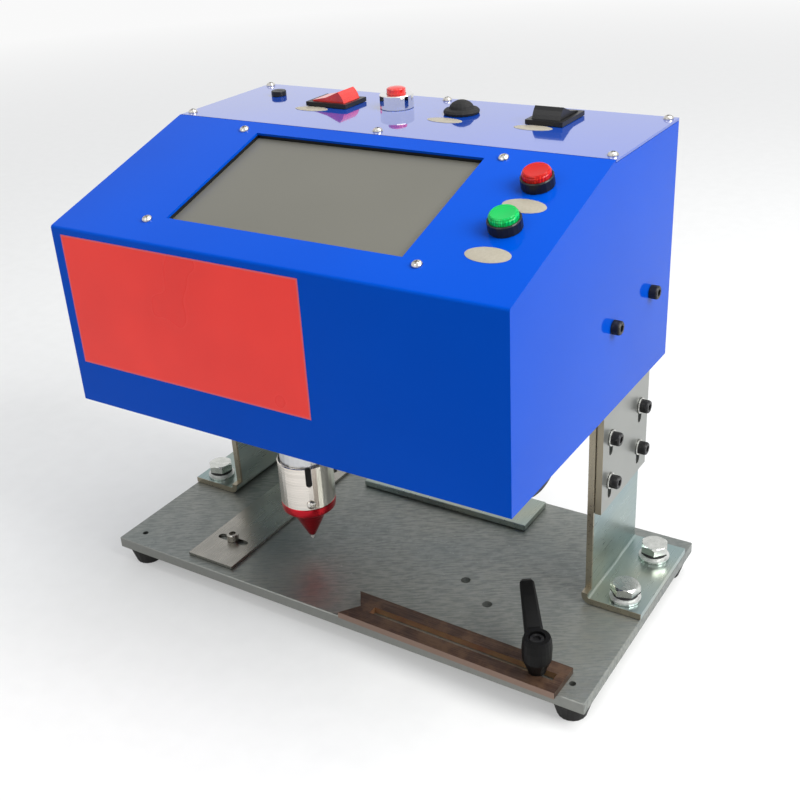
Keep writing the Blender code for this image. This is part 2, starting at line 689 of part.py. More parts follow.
# Lift frame: two slotted side plates, widened inside the housing, welded to a cross web
def build_lift_frame():
    weld = PLATE_INNER_X + PLATE_THICKNESS / 2
    front = BRACKET_FRONT_Y + PLATE_FRONT_SET
    rear = front + PLATE_DEPTH
    shoulder = WING_BOTTOM - WEB_SET
    outline = [(front, PLATE_BOTTOM), (rear, PLATE_BOTTOM), (rear, shoulder),
               (WING_REAR_Y, shoulder), (WING_REAR_Y, WING_TOP), (WING_FRONT_Y, WING_TOP),
               (WING_FRONT_Y, WING_BOTTOM), (front, WING_BOTTOM)]
    frame = extruded("lift_frame", ZINC, outline, PLATE_THICKNESS,
                     Matrix.Translation((-weld, 0, 0)) @ SIDEWAYS)
    grow(frame, "cross_web", (-weld, CROSS_PLATE_Y, WING_BOTTOM + WEB_SET),
         (weld, CROSS_PLATE_Y + CROSS_PLATE_THICK, WING_TOP - WEB_SET))
    boolean(frame, extruded("right_side_plate", None, outline, PLATE_THICKNESS,
                            Matrix.Translation((weld, 0, 0)) @ SIDEWAYS), "UNION")
    for side, side_name in ((-1, "left"), (1, "right")):
        place = Matrix.Translation((side * weld, 0, 0)) @ SIDEWAYS
        for column in range(2):
            for row in range(2):
                along, up = slide_screw_place(column, row)
                slot = arc((along, up + SLOT_ABOVE), SLOT_WIDTH / 2, 0, math.pi, 5)
                slot += arc((along, up - SLOT_BELOW), SLOT_WIDTH / 2, math.pi, math.tau, 5)
                boolean(frame, extruded(f"{side_name}_slot_{column}_{row}", None, slot,
                                        PLATE_THICKNESS + 2 * OVERRUN, place))
        for index in range(2):
            along, up = side_screw_place(index)
            hole(frame, f"{side_name}_cover_tap_{index}", SCREW_HOLE_R,
                 (side * weld - PLATE_THICKNESS, along, up),
                 (side * weld + PLATE_THICKNESS, along, up), 12)
        near = side * (PLATE_INNER_X - RAIL_THICK - 2 * SEAT)
        far = side * (PLATE_INNER_X + SOFT_EDGE)
        pocket(frame, f"{side_name}_rail_notch",
               (min(near, far), CROSS_PLATE_Y - OVERRUN, RAIL_LOW - SEAT),
               (max(near, far), CROSS_PLATE_Y + CROSS_PLATE_THICK + OVERRUN, RAIL_HIGH + SEAT))
    grow(frame, "y_lead_bearing", (-weld, Y_LEAD_FRONT_Y, LEAD_HEIGHT - LUG_HALF),
         (Y_LEAD_X + LUG_HALF, Y_LEAD_FRONT_Y + LUG_THICK, LEAD_HEIGHT + LUG_HALF))
    hole(frame, "y_lead_bearing_hole", LEAD_HOLE_R,
         (Y_LEAD_X, Y_LEAD_FRONT_Y - OVERRUN, LEAD_HEIGHT),
         (Y_LEAD_X, Y_LEAD_FRONT_Y + LUG_THICK + OVERRUN, LEAD_HEIGHT), 20)
    hole(frame, "y_motor_hole", MOTOR_PILOT_R + SEAT,
         (Y_LEAD_X, CROSS_PLATE_Y - OVERRUN, LEAD_HEIGHT),
         (Y_LEAD_X, CROSS_PLATE_Y + CROSS_PLATE_THICK + OVERRUN, LEAD_HEIGHT), 24)
    return frame


def side_screw_place(index):
    return SIDE_SCREW_FRONT_Y + index * SIDE_SCREW_PITCH, SIDE_SCREW_RISE


# Housing: a bent sheet shell, open below, with a lip that carries the top panel
def build_housing():
    roof = HOUSING_ROOF - SHEET - SEAT
    top_y = SLOPE_TOP_Y - (HOUSING_ROOF - roof) / math.tan(SLOPE_ANGLE)
    nose = Vector((HOUSING_FRONT_Y, HOUSING_NOSE))
    lead_in = HOUSING_BEND_R * math.tan((math.pi / 2 - SLOPE_ANGLE) / 2)
    outline = [(HOUSING_FRONT_Y, HOUSING_BOTTOM), (HOUSING_REAR_Y, HOUSING_BOTTOM),
               (HOUSING_REAR_Y, roof), (SLOPE_TOP_Y, roof), (SLOPE_TOP_Y, HOUSING_ROOF)]
    outline += arc((nose.x + HOUSING_BEND_R, nose.y - lead_in), HOUSING_BEND_R,
                   math.pi / 2 + SLOPE_ANGLE, math.pi, 4)
    shell = extruded("housing", BLUE_PAINT, outline, 2 * HOUSING_OUTER_X, SIDEWAYS)
    round_corners(shell, HOUSING_BEND_R)
    slope_drop = SHEET / math.cos(SLOPE_ANGLE)
    nose_drop = slope_drop - SHEET * math.tan(SLOPE_ANGLE)
    room = [(HOUSING_FRONT_Y + SHEET, HOUSING_BOTTOM - OVERRUN),
            (HOUSING_REAR_Y - SHEET, HOUSING_BOTTOM - OVERRUN),
            (HOUSING_REAR_Y - SHEET, roof - SHEET),
            (top_y + (slope_drop - SHEET) / math.tan(SLOPE_ANGLE), roof - SHEET),
            (HOUSING_FRONT_Y + SHEET, HOUSING_NOSE - nose_drop)]
    hollow = extruded("housing_room", None, room, 2 * (HOUSING_OUTER_X - SHEET), SIDEWAYS)
    boolean(shell, hollow)
    half = HOUSING_OUTER_X - ROOF_LIP
    pocket(shell, "roof_opening", (-half, SLOPE_TOP_Y + ROOF_LIP, roof - ROOF_LIP),
           (half, HOUSING_REAR_Y - ROOF_LIP, HOUSING_ROOF + OVERRUN))
    window = block("window_cut", None, (-SCREEN_WIDTH / 2, SCREEN_START, -OVERRUN),
                   (SCREEN_WIDTH / 2, SCREEN_START + SCREEN_HEIGHT, OVERRUN))
    window.matrix_world = SLOPE_FRAME @ Matrix.Translation(window.location)
    boolean(shell, window)
    for name, up in (("red", BUTTON_RED_UP), ("green", BUTTON_GREEN_UP)):
        start = SLOPE_FRAME @ Vector((BUTTON_X, up, -OVERRUN))
        end = SLOPE_FRAME @ Vector((BUTTON_X, up, OVERRUN))
        hole(shell, f"{name}_button_cut", BARREL_HOLE_R, start, end, 24)
    for side in (-1, 1):
        for index in range(2):
            along, up = side_screw_place(index)
            hole(shell, f"cover_hole_{side}_{index}", SCREW_HOLE_R,
                 (side * (HOUSING_OUTER_X - OVERRUN), along, up),
                 (side * (HOUSING_OUTER_X + OVERRUN), along, up), 12)
    return shell


def build_top_panel():
    low = (-HOUSING_OUTER_X, SLOPE_TOP_Y + PANEL_GAP, HOUSING_ROOF - SHEET)
    high = (HOUSING_OUTER_X, HOUSING_REAR_Y, HOUSING_ROOF)
    panel = block("top_panel", BLUE_PAINT, low, high)
    under, over = HOUSING_ROOF - SHEET - OVERRUN, HOUSING_ROOF + OVERRUN
    for name, across, along, radius in (("chrome", CHROME_X, CONTROL_Y, CHROME_BARREL_R),
                                        ("fuse", FUSE_X, FUSE_Y, FUSE_STEM_R),
                                        ("data", SOCKET_X, SOCKET_Y, DUST_PLUG_R)):
        hole(panel, name + "_cut", radius + SEAT, (across, along, under), (across, along, over))
    for name, across, along, wide, deep in (
            ("power", POWER_X, POWER_Y, ROCKER_LONG, ROCKER_SHORT),
            ("light", LIGHT_X, LIGHT_Y, ROCKER_SHORT, ROCKER_LONG)):
        trim = ROCKER_RIM_WALL - ROCKER_BODY_WALL - SEAT
        pocket(panel, name + "_cut",
               (across - wide / 2 + trim, along - deep / 2 + trim, under),
               (across + wide / 2 - trim, along + deep / 2 - trim, over))
    return panel


# Display: a black frame with a sunken front, and the glass on its floor
def build_display():
    wide = SCREEN_WIDTH / 2 + FRAME_BORDER
    low_up = SCREEN_START - FRAME_BORDER
    high_up = SCREEN_START + SCREEN_HEIGHT + FRAME_BORDER
    back = -SHEET - SEAT
    frame = block("display_frame", BLACK_PLASTIC, (-wide, low_up, back - DISPLAY_DEPTH),
                  (wide, high_up, back))
    frame.matrix_world = SLOPE_FRAME @ Matrix.Translation(frame.location)
    recess = block("display_recess", None,
                   (-SCREEN_WIDTH / 2, SCREEN_START, back - SCREEN_RECESS - GLASS_THICKNESS),
                   (SCREEN_WIDTH / 2, SCREEN_START + SCREEN_HEIGHT, back + OVERRUN))
    recess.matrix_world = SLOPE_FRAME @ Matrix.Translation(recess.location)
    boolean(frame, recess)
    glass = block("touch_glass", SCREEN_LOOK,
                  (-SCREEN_WIDTH / 2 + SEAT, SCREEN_START + SEAT,
                   back - SCREEN_RECESS - GLASS_THICKNESS + SEAT),
                  (SCREEN_WIDTH / 2 - SEAT, SCREEN_START + SCREEN_HEIGHT - SEAT,
                   back - SCREEN_RECESS))
    glass.matrix_world = SLOPE_FRAME @ Matrix.Translation(glass.location)


# Round push button: bezel with its barrel, and the lens that travels in it
def build_button(name, look, up):
    frame = SLOPE_FRAME @ Matrix.Translation((BUTTON_X, up, 0))
    bore = BEZEL_R - BEZEL_WALL
    inner = BARREL_R - BEZEL_WALL
    shelf = LENS_TOP - LENS_LENGTH - LENS_TRAVEL - SEAT
    bezel = turned(name + "_button_bezel", BLACK_PLASTIC,
                   [(bore, BEZEL_HEIGHT), (BEZEL_R - SOFT_EDGE, BEZEL_HEIGHT),
                    (BEZEL_R, BEZEL_HEIGHT - SOFT_EDGE), (BEZEL_R, SEAT), (BARREL_R, SEAT),
                    (BARREL_R, -BARREL_LENGTH), (inner, -BARREL_LENGTH), (inner, shelf),
                    (inner, SEAT + BEZEL_WALL), (bore, SEAT + 2 * BEZEL_WALL)],
                   (0, 0, 0), 20)
    bezel.matrix_world = frame
    lens_r = bore - SEAT
    skirt_r = inner - SEAT
    step = SEAT + 2 * BEZEL_WALL + LENS_TRAVEL + SEAT
    lens = turned(name + "_button", look,
                  [(0, LENS_TOP), (lens_r - 2 * SOFT_EDGE, LENS_TOP),
                   (lens_r, LENS_TOP - 2 * SOFT_EDGE), (lens_r, step), (skirt_r, step),
                   (skirt_r, LENS_TOP - LENS_LENGTH), (STEM_R, LENS_TOP - LENS_LENGTH),
                   (STEM_R, LENS_TOP - LENS_LENGTH - STEM_LENGTH),
                   (0, LENS_TOP - LENS_LENGTH - STEM_LENGTH)], (0, 0, 0), 20)
    lens.matrix_world = frame


def build_chrome_button():
    deck = HOUSING_ROOF
    top = deck + CHROME_HEIGHT
    turned("chrome_button_body", CHROME_LOOK,
           [(CHROME_BORE_R, top), (CHROME_R - SOFT_EDGE, top), (CHROME_R, top - SOFT_EDGE),
            (CHROME_R, deck + SEAT), (CHROME_BARREL_R, deck + SEAT),
            (CHROME_BARREL_R, deck - CHROME_BARREL_LENGTH),
            (CHROME_BORE_R, deck - CHROME_BARREL_LENGTH)],
           (CHROME_X, CONTROL_Y, 0), 24)
    crown = [(CHROME_CAP_R * math.sin(math.radians(angle)),
              top + CHROME_CAP_RISE - CHROME_CAP_CROWN * (1 - math.cos(math.radians(angle))))
             for angle in (0, 25, 50, 70, 90)]
    turned("chrome_button_cap", RED_PLASTIC,
           crown + [(CHROME_CAP_R, top - CHROME_HEIGHT), (STEM_R, top - CHROME_HEIGHT),
                    (STEM_R, top - CHROME_HEIGHT - STEM_LENGTH),
                    (0, top - CHROME_HEIGHT - STEM_LENGTH)],
           (CHROME_X, CONTROL_Y, 0), 20)


# Rocker switch: a rimmed body below the panel and the rocking cap on its pivot
def build_rocker(name, look, across, along, turn):
    frame = Matrix.Translation((across, along, HOUSING_ROOF)) @ Matrix.Rotation(turn, 4, "Z")
    long_half, short_half = ROCKER_LONG / 2, ROCKER_SHORT / 2
    body = block(name + "_switch_body", BLACK_PLASTIC, (-long_half, -short_half, SEAT),
                 (long_half, short_half, ROCKER_RIM))
    trim = ROCKER_RIM_WALL - ROCKER_BODY_WALL
    lower = block(name + "_switch_lower", None,
                  (-long_half + trim, -short_half + trim, -ROCKER_BODY_DEPTH),
                  (long_half - trim, short_half - trim, SEAT + SOFT_EDGE))
    wall = ROCKER_RIM_WALL
    well = block(name + "_switch_well", None,
                 (-long_half + wall, -short_half + wall, -ROCKER_BODY_DEPTH + ROCKER_BODY_WALL),
                 (long_half - wall, short_half - wall, ROCKER_RIM + OVERRUN))
    for piece in (body, lower, well):
        piece.matrix_world = frame @ Matrix.Translation(piece.location)
    boolean(body, lower, "UNION")
    boolean(body, well)
    skirt = -ROCKER_SKIRT_ANGLE
    ridge = ROCKER_RIDGE_ANGLE
    outline = arc((0, 0), ROCKER_SWING_R, skirt, ridge, 5)
    outline.append((0, ROCKER_VALLEY))
    outline += arc((0, 0), ROCKER_SWING_R, math.pi - ridge, math.pi - skirt, 5)
    cap = extruded(name + "_rocker", look, outline, ROCKER_CAP_WIDTH, UPRIGHT)
    cap.matrix_world = frame @ Matrix.Rotation(-ROCKER_TILT, 4, "Y") @ UPRIGHT


def build_fuse():
    deck = HOUSING_ROOF
    top = deck + FUSE_CAP_HEIGHT
    cap = turned("fuse_cap", BLACK_PLASTIC,
                 [(0, top), (FUSE_CAP_R - SOFT_EDGE, top), (FUSE_CAP_R, top - SOFT_EDGE),
                  (FUSE_CAP_R, deck + SEAT), (FUSE_STEM_R - SEAT, deck + SEAT),
                  (FUSE_STEM_R - SEAT, deck - STEM_LENGTH), (0, deck - STEM_LENGTH)],
                 (FUSE_X, FUSE_Y, 0), 18)
    pocket(cap, "fuse_cap_slot",
           (FUSE_X - FUSE_SLOT_HALF, FUSE_Y - FUSE_CAP_SLOT / 2, top - FUSE_CAP_SLOT),
           (FUSE_X + FUSE_SLOT_HALF, FUSE_Y + FUSE_CAP_SLOT / 2, top + OVERRUN))


def build_dust_cap():
    deck = HOUSING_ROOF
    foot = deck + SEAT
    dome = [(DUST_CAP_DOME_R * math.sin(math.radians(angle)),
             foot + DUST_CAP_LIP + (DUST_CAP_HEIGHT - DUST_CAP_LIP) * math.cos(math.radians(angle)))
            for angle in (0, 22, 45, 66, 84)]
    turned("dust_cap", RUBBER_LOOK,
           dome + [(DUST_CAP_R - 2 * SOFT_EDGE, foot + DUST_CAP_LIP),
                   (DUST_CAP_R, foot + DUST_CAP_LIP / 2), (DUST_CAP_R - SOFT_EDGE, foot),
                   (DUST_PLUG_R, foot), (DUST_PLUG_R, deck - DUST_PLUG_LENGTH),
                   (0, deck - DUST_PLUG_LENGTH)], (SOCKET_X, SOCKET_Y, 0), 18)


# Work holding on the bed
def build_stop_plate():
    low = (STOP_LEFT_X, STOP_FRONT_Y, SEAT)
    high = (STOP_LEFT_X + STOP_WIDTH, STOP_FRONT_Y + STOP_DEPTH,
            SEAT + STOP_THICKNESS)
    soften(block("rear_stop_plate", ZINC, low, high))


def build_fence():
    low = (FENCE_LEFT_X, FENCE_FRONT_Y, SEAT)
    high = (FENCE_LEFT_X + FENCE_WIDTH, FENCE_FRONT_Y + FENCE_LENGTH,
            SEAT + FENCE_THICKNESS)
    strip = block("side_fence", STAINLESS, low, high)
    reach = FENCE_SLOT_LENGTH / 2 - FENCE_SLOT_WIDTH / 2
    for index, end_name in enumerate(("front", "rear")):
        along = fence_slot_y(index)
        slot = arc((FENCE_SLOT_X + reach, along), FENCE_SLOT_WIDTH / 2,
                   -math.pi / 2, math.pi / 2, 6)
        slot += arc((FENCE_SLOT_X - reach, along), FENCE_SLOT_WIDTH / 2,
                    math.pi / 2, 3 * math.pi / 2, 6)
        tool = extruded(f"fence_slot_{index}", None, slot, FENCE_THICKNESS + 2 * OVERRUN,
                        Matrix.Translation((0, 0, high[2])))
        boolean(strip, tool)
        build_cap_screw(f"fence_screw_{end_name}", STAINLESS,
                        (FENCE_SLOT_X, along, high[2] + SEAT), (0, 0, 1),
                        FENCE_THICKNESS + SEAT + SCREW_SEAT_DEPTH, washer=False)


def build_clamp_bar():
    """The bar is drawn with its origin on the stud's axis and turned about it."""
    start = BAR_LEFT_X - STUD_X
    half = BAR_WIDTH / 2
    outline = [(start, -half), (start + BAR_LENGTH, -half), (start + BAR_LENGTH, half),
               (start, half), (start + BAR_NOTCH_DEPTH, 0)]
    lift = SEAT + BAR_THICKNESS / 2
    frame = Matrix.Translation((STUD_X, STUD_Y, lift)) @ Matrix.Rotation(BAR_TURN, 4, "Z")
    bar = extruded("clamp_bar", BROWN_STEEL, outline, BAR_THICKNESS, frame)
    slot = block("clamp_bar_slot", None,
                 (start + BAR_SLOT_START, -BAR_SLOT_WIDTH / 2, -BAR_THICKNESS - OVERRUN),
                 (start + BAR_SLOT_START + BAR_SLOT_LENGTH, BAR_SLOT_WIDTH / 2,
                  BAR_THICKNESS + OVERRUN))
    slot.matrix_world = frame @ Matrix.Translation(slot.location)
    boolean(bar, slot)


def lever_seat():
    return 2 * SEAT + BAR_THICKNESS


def build_lever():
    seat = lever_seat()
    top = seat + LEVER_HUB_HEIGHT
    floor = top - LEVER_RECESS_DEPTH
    turned("lever_insert", BLACK_STEEL,
           [(0, floor + SEAT + INSERT_HEAD_HEIGHT / 2),
            (SCREW_SOCKET_R, floor + SEAT + INSERT_HEAD_HEIGHT / 2),
            (SCREW_SOCKET_R, floor + SEAT + INSERT_HEAD_HEIGHT),
            (INSERT_HEAD_R, floor + SEAT + INSERT_HEAD_HEIGHT),
            (INSERT_HEAD_R, floor + SEAT), (STUD_R, floor + SEAT),
            (STUD_R, -BASE_THICKNESS + SEAT), (0, -BASE_THICKNESS + SEAT)],
           (STUD_X, STUD_Y, 0), 14)
    neck = seat + LEVER_HUB_HEIGHT * LEVER_NECK_SHARE
    belly = seat + LEVER_HUB_HEIGHT * LEVER_BELLY_SHARE
    waist = seat + LEVER_HUB_HEIGHT * LEVER_WAIST_SHARE
    hub = turned("clamp_lever", BLACK_PLASTIC,
                 [(LEVER_RECESS_R, top), (LEVER_TOP_R, top),
                  (LEVER_SHOULDER_R, top - LEVER_HUB_HEIGHT * LEVER_NECK_SHARE),
                  (LEVER_HUB_R, waist), (LEVER_BELLY_R, belly), (LEVER_NECK_R, neck),
                  (LEVER_FOOT_R, seat), (LEVER_BORE_R, seat), (LEVER_BORE_R, floor),
                  (LEVER_RECESS_R, floor)], (STUD_X, STUD_Y, 0), 24)
    # The arm: rectangular sections lofted from inside the hub wall to the rounded tip
    start = LEVER_HUB_HEIGHT * LEVER_ARM_START_SHARE
    sections = []
    for reach_share, rise_share, size_share in LEVER_ARM_SHARES:
        width = LEVER_ARM_ROOT_WIDTH + (LEVER_ARM_TIP_WIDTH - LEVER_ARM_ROOT_WIDTH) * reach_share
        thick = LEVER_ARM_ROOT_THICK + (LEVER_ARM_TIP_THICK - LEVER_ARM_ROOT_THICK) * reach_share
        rise = start + (LEVER_ARM_RISE - start) * rise_share
        sections.append((reach_share * LEVER_ARM_LENGTH, width * size_share, thick * size_share,
                         seat + rise))
    arm = add_object("clamp_lever_arm", mesh_from(lambda work: loft(work, sections),
                                                  "clamp_lever_arm"), None,
                     (STUD_X, STUD_Y, 0))
    arm.rotation_euler = (0, 0, LEVER_ARM_TURN)
    boolean(hub, arm, "UNION")
    clear = turned("clamp_lever_well", None,
                   [(0, top + OVERRUN), (LEVER_RECESS_R, top + OVERRUN),
                    (LEVER_RECESS_R, floor), (LEVER_BORE_R, floor),
                    (LEVER_BORE_R, seat - OVERRUN), (0, seat - OVERRUN)],
                   (STUD_X, STUD_Y, 0), 24)
    boolean(hub, clear)


def loft(work, sections):
    """Skin rectangular sections (reach, width, thickness, height) along +X."""
    rings = []
    for reach, width, thick, height in sections:
        trim = thick * LEVER_ARM_EDGE_SHARE
        half, tall = width / 2, thick / 2
        corners = [(-half, -tall + trim), (-half + trim, -tall), (half - trim, -tall),
                   (half, -tall + trim), (half, tall - trim), (half - trim, tall),
                   (-half + trim, tall), (-half, tall - trim)]
        rings.append([work.verts.new((reach, across, height + up)) for across, up in corners])
    for first, second in zip(rings, rings[1:]):
        count = len(first)
        for index in range(count):
            other = (index + 1) % count
            work.faces.new((first[index], first[other], second[other], second[index]))
    work.faces.new(rings[0][::-1])
    work.faces.new(rings[-1])


# Marking head: sleeve, core with coil, red nose, and the striking stylus
def build_head():
    place = (HEAD_X, HEAD_Y, 0)
    top = SLEEVE_BOTTOM + SLEEVE_LENGTH
    bore = HEAD_R - SLEEVE_WALL
    sleeve = turned("head_sleeve", STAINLESS,
                    [(bore, top), (HEAD_R - SOFT_EDGE, top), (HEAD_R, top - SOFT_EDGE),
                     (HEAD_R, SLEEVE_BOTTOM), (bore, SLEEVE_BOTTOM)], place, 36)
    half = SLEEVE_SLOT_WIDTH / 2
    slot_out = [(half, OVERRUN), (-half, OVERRUN)]
    slot_out += arc((0, half - SLEEVE_SLOT_DEPTH), half, math.pi, math.tau, 6)
    frame = (Matrix.Translation((HEAD_X, HEAD_Y, top))
             @ Matrix.Rotation(SLEEVE_SLOT_TURN + math.pi / 2, 4, "Z")
             @ Matrix.Translation((0, -HEAD_R, 0)) @ UPRIGHT)
    boolean(sleeve, extruded("sleeve_slot", None, slot_out, HEAD_R, frame))
    core_r = bore - SEAT
    cavity_r = core_r - CORE_WALL
    core_low = SLEEVE_BOTTOM + SEAT
    turned("head_core", ALUMINIUM_LOOK,
           [(0, CORE_TOP), (core_r - 2 * SOFT_EDGE, CORE_TOP),
            (core_r, CORE_TOP - 2 * SOFT_EDGE), (core_r, core_low), (cavity_r, core_low),
            (cavity_r, core_low + CORE_CAVITY), (0, core_low + CORE_CAVITY)], place, 28)
    turned("striking_coil", COPPER_LOOK,
           [(COIL_INNER_R, core_low + COIL_START + COIL_LENGTH),
            (cavity_r - SEAT, core_low + COIL_START + COIL_LENGTH),
            (cavity_r - SEAT, core_low + COIL_START), (COIL_INNER_R, core_low + COIL_START)],
           place, 20)
    nose_top = SLEEVE_BOTTOM - SEAT
    turned("nose_cone", RED_ANODISED,
           [(PIN_BORE_R, nose_top), (HEAD_R, nose_top),
            (NOSE_STEP_R, nose_top - NOSE_STEP), (NOSE_CONE_R, nose_top - NOSE_STEP),
            (NOSE_TIP_R, NOSE_TIP), (PIN_BORE_R, NOSE_TIP)], place, 36)
    turned("stylus_pin", STAINLESS,
           [(0, ARMATURE_BOTTOM + ARMATURE_LENGTH),
            (ARMATURE_R, ARMATURE_BOTTOM + ARMATURE_LENGTH), (ARMATURE_R, ARMATURE_BOTTOM),
            (PIN_R, ARMATURE_BOTTOM), (PIN_R, PIN_TIP + PIN_POINT), (0, PIN_TIP)], place, 12)


# Gantry: Y rails on the side plates, a cross beam on them, the head's carriage on the beam
def build_gantry():
    rail_low, rail_high = RAIL_LOW, RAIL_HIGH
    rail_front = (WING_FRONT_Y + WING_REAR_Y) / 2 - Y_RAIL_LENGTH / 2
    rail_inner = PLATE_INNER_X - SEAT - RAIL_THICK
    for side, name in ((-1, "y_rail_left"), (1, "y_rail_right")):
        near, far = side * rail_inner, side * (PLATE_INNER_X - SEAT)
        rail = block(name, STAINLESS, (min(near, far), rail_front, rail_low),
                     (max(near, far), rail_front + Y_RAIL_LENGTH, rail_high))
        soften(rail)
    beam_rear = BEAM_FRONT_Y + BEAM_THICK
    beam_half = rail_inner - SEAT
    beam = block("gantry_beam", ALUMINIUM_LOOK, (-beam_half, BEAM_FRONT_Y, GANTRY_LOW),
                 (beam_half, beam_rear, GANTRY_LOW + GANTRY_TALL))
    beam_mid = (BEAM_FRONT_Y + beam_rear) / 2
    for side, name in ((-1, "left"), (1, "right")):
        inner, outer = side * (beam_half - RUNNER_THICK), side * (beam_half + RUNNER_WRAP)
        grow(beam, f"runner_{name}",
             (min(inner, outer), beam_mid - RUNNER_LENGTH / 2, GANTRY_LOW),
             (max(inner, outer), beam_mid + RUNNER_LENGTH / 2, GANTRY_LOW + GANTRY_TALL))
        groove_in, groove_out = side * beam_half, side * (beam_half + RUNNER_WRAP + OVERRUN)
        pocket(beam, f"runner_groove_{name}",
               (min(groove_in, groove_out), beam_mid - RUNNER_LENGTH, rail_low - SEAT),
               (max(groove_in, groove_out), beam_mid + RUNNER_LENGTH, rail_high + SEAT))
    beam_top = GANTRY_LOW + GANTRY_TALL
    lug_top = LEAD_HEIGHT + LUG_HALF
    sink = beam_top - SOFT_EDGE
    grow(beam, "x_lead_lug", (X_LEAD_LEFT_X, X_LEAD_Y - LUG_FRONT, sink),
         (X_LEAD_LEFT_X + LUG_THICK, X_LEAD_Y + LUG_HALF, lug_top))
    hole(beam, "x_lead_lug_hole", LEAD_HOLE_R, (X_LEAD_LEFT_X - OVERRUN, X_LEAD_Y, LEAD_HEIGHT),
         (X_LEAD_LEFT_X + LUG_THICK + OVERRUN, X_LEAD_Y, LEAD_HEIGHT), 20)
    grow(beam, "y_nut_lug", (Y_LEAD_X - NUT_HALF, beam_mid - NUT_HALF, sink),
         (Y_LEAD_X + NUT_HALF, beam_mid + NUT_HALF, lug_top))
    hole(beam, "y_nut_hole", LEAD_HOLE_R, (Y_LEAD_X, beam_mid - BEAM_THICK, LEAD_HEIGHT),
         (Y_LEAD_X, beam_mid + BEAM_THICK, LEAD_HEIGHT), 20)
    grow(beam, "x_motor_lug",
         (X_LEAD_RIGHT_X + SEAT, X_LEAD_Y - LUG_FRONT, sink),
         (X_LEAD_RIGHT_X + SEAT + LUG_THICK, beam_rear, LEAD_HEIGHT + MOTOR_SIZE / 2))
    hole(beam, "x_motor_lug_hole", MOTOR_PILOT_R + SEAT,
         (X_LEAD_RIGHT_X - OVERRUN, X_LEAD_Y, LEAD_HEIGHT),
         (X_LEAD_RIGHT_X + LUG_THICK + OVERRUN, X_LEAD_Y, LEAD_HEIGHT), 24)
    rail_rear = BEAM_FRONT_Y - SEAT
    block("x_rail", STAINLESS, (-X_RAIL_LENGTH / 2, rail_rear - RAIL_THICK, rail_low),
          (X_RAIL_LENGTH / 2, rail_rear, rail_high))
    build_carriage(rail_rear - RAIL_THICK, rail_low, rail_high, beam_top)
    build_motor("x_motor", (X_LEAD_RIGHT_X + SEAT + LUG_THICK + SEAT, X_LEAD_Y, LEAD_HEIGHT),
                (1, 0, 0))
    build_motor("y_motor", (Y_LEAD_X, CROSS_PLATE_Y + CROSS_PLATE_THICK + SEAT, LEAD_HEIGHT),
                (0, 1, 0))
    rod("x_lead_screw", STAINLESS, LEAD_R, (X_LEAD_LEFT_X, X_LEAD_Y, LEAD_HEIGHT),
        (X_LEAD_RIGHT_X, X_LEAD_Y, LEAD_HEIGHT), 20)
    rod("y_lead_screw", STAINLESS, LEAD_R, (Y_LEAD_X, Y_LEAD_FRONT_Y, LEAD_HEIGHT),
        (Y_LEAD_X, CROSS_PLATE_Y - SEAT, LEAD_HEIGHT), 20)


def build_carriage(rail_front, rail_low, rail_high, beam_top):
    half = CARRIAGE_WIDTH / 2
    left, right = HEAD_X - half, HEAD_X + half
    back = rail_front + RUNNER_WRAP
    deck_low = beam_top + 2 * SEAT
    carriage = block("head_carriage", ALUMINIUM_LOOK, (left, CARRIAGE_FRONT_Y, GANTRY_LOW),
                     (right, back, deck_low + LUG_THICK))
    grow(carriage, "carriage_deck", (left, CARRIAGE_FRONT_Y, deck_low),
         (right, X_LEAD_Y + NUT_HALF, deck_low + LUG_THICK))
    grow(carriage, "carriage_nut",
         (HEAD_X - half / 2, X_LEAD_Y - NUT_HALF, deck_low + SOFT_EDGE),
         (HEAD_X + half / 2, X_LEAD_Y + NUT_HALF, LEAD_HEIGHT + LUG_HALF))
    ring = rod("carriage_ring", None, CLAMP_RING_R, (HEAD_X, HEAD_Y, GANTRY_LOW),
               (HEAD_X, HEAD_Y, GANTRY_LOW + GANTRY_TALL), 24)
    boolean(carriage, ring, "UNION")
    pocket(carriage, "carriage_groove", (left - OVERRUN, rail_front - SEAT, rail_low - SEAT),
           (right + OVERRUN, back + OVERRUN, rail_high + SEAT))
    hole(carriage, "carriage_lead_hole", LEAD_HOLE_R,
         (left, X_LEAD_Y, LEAD_HEIGHT), (right, X_LEAD_Y, LEAD_HEIGHT), 20)
    hole(carriage, "carriage_bore", HEAD_R - SLEEVE_WALL, (HEAD_X, HEAD_Y, GANTRY_LOW - OVERRUN),
         (HEAD_X, HEAD_Y, LEAD_HEIGHT + GANTRY_TALL), 28)


def build_motor(name, face, direction):
    """A square motor whose mounting face is at face, its body going along direction."""
    half = MOTOR_SIZE / 2

    def build(work):
        bmesh.ops.create_cube(work, size=1, matrix=Matrix.Translation((0, 0, MOTOR_LENGTH / 2))
                              @ Matrix.Diagonal((2 * half, 2 * half, MOTOR_LENGTH, 1)))
        upright = [edge for edge in work.edges
                   if abs(edge.verts[0].co.z - edge.verts[1].co.z) > MOTOR_LENGTH / 2]
        bmesh.ops.bevel(work, geom=upright, offset=MOTOR_CORNER, segments=1, affect="EDGES")

    motor = add_object(name, mesh_from(build, name), BLACK_STEEL)
    motor.matrix_world = (Matrix.Translation(face)
                          @ Vector(direction).to_track_quat("Z", "Y").to_matrix().to_4x4())
    pilot = rod(name + "_pilot", None, MOTOR_PILOT_R, (0, 0, -MOTOR_PILOT),
                (0, 0, MOTOR_LENGTH / 2), 24)
    pilot.matrix_world = motor.matrix_world @ Matrix.Translation(pilot.location)
    boolean(motor, pilot, "UNION")
    return motor


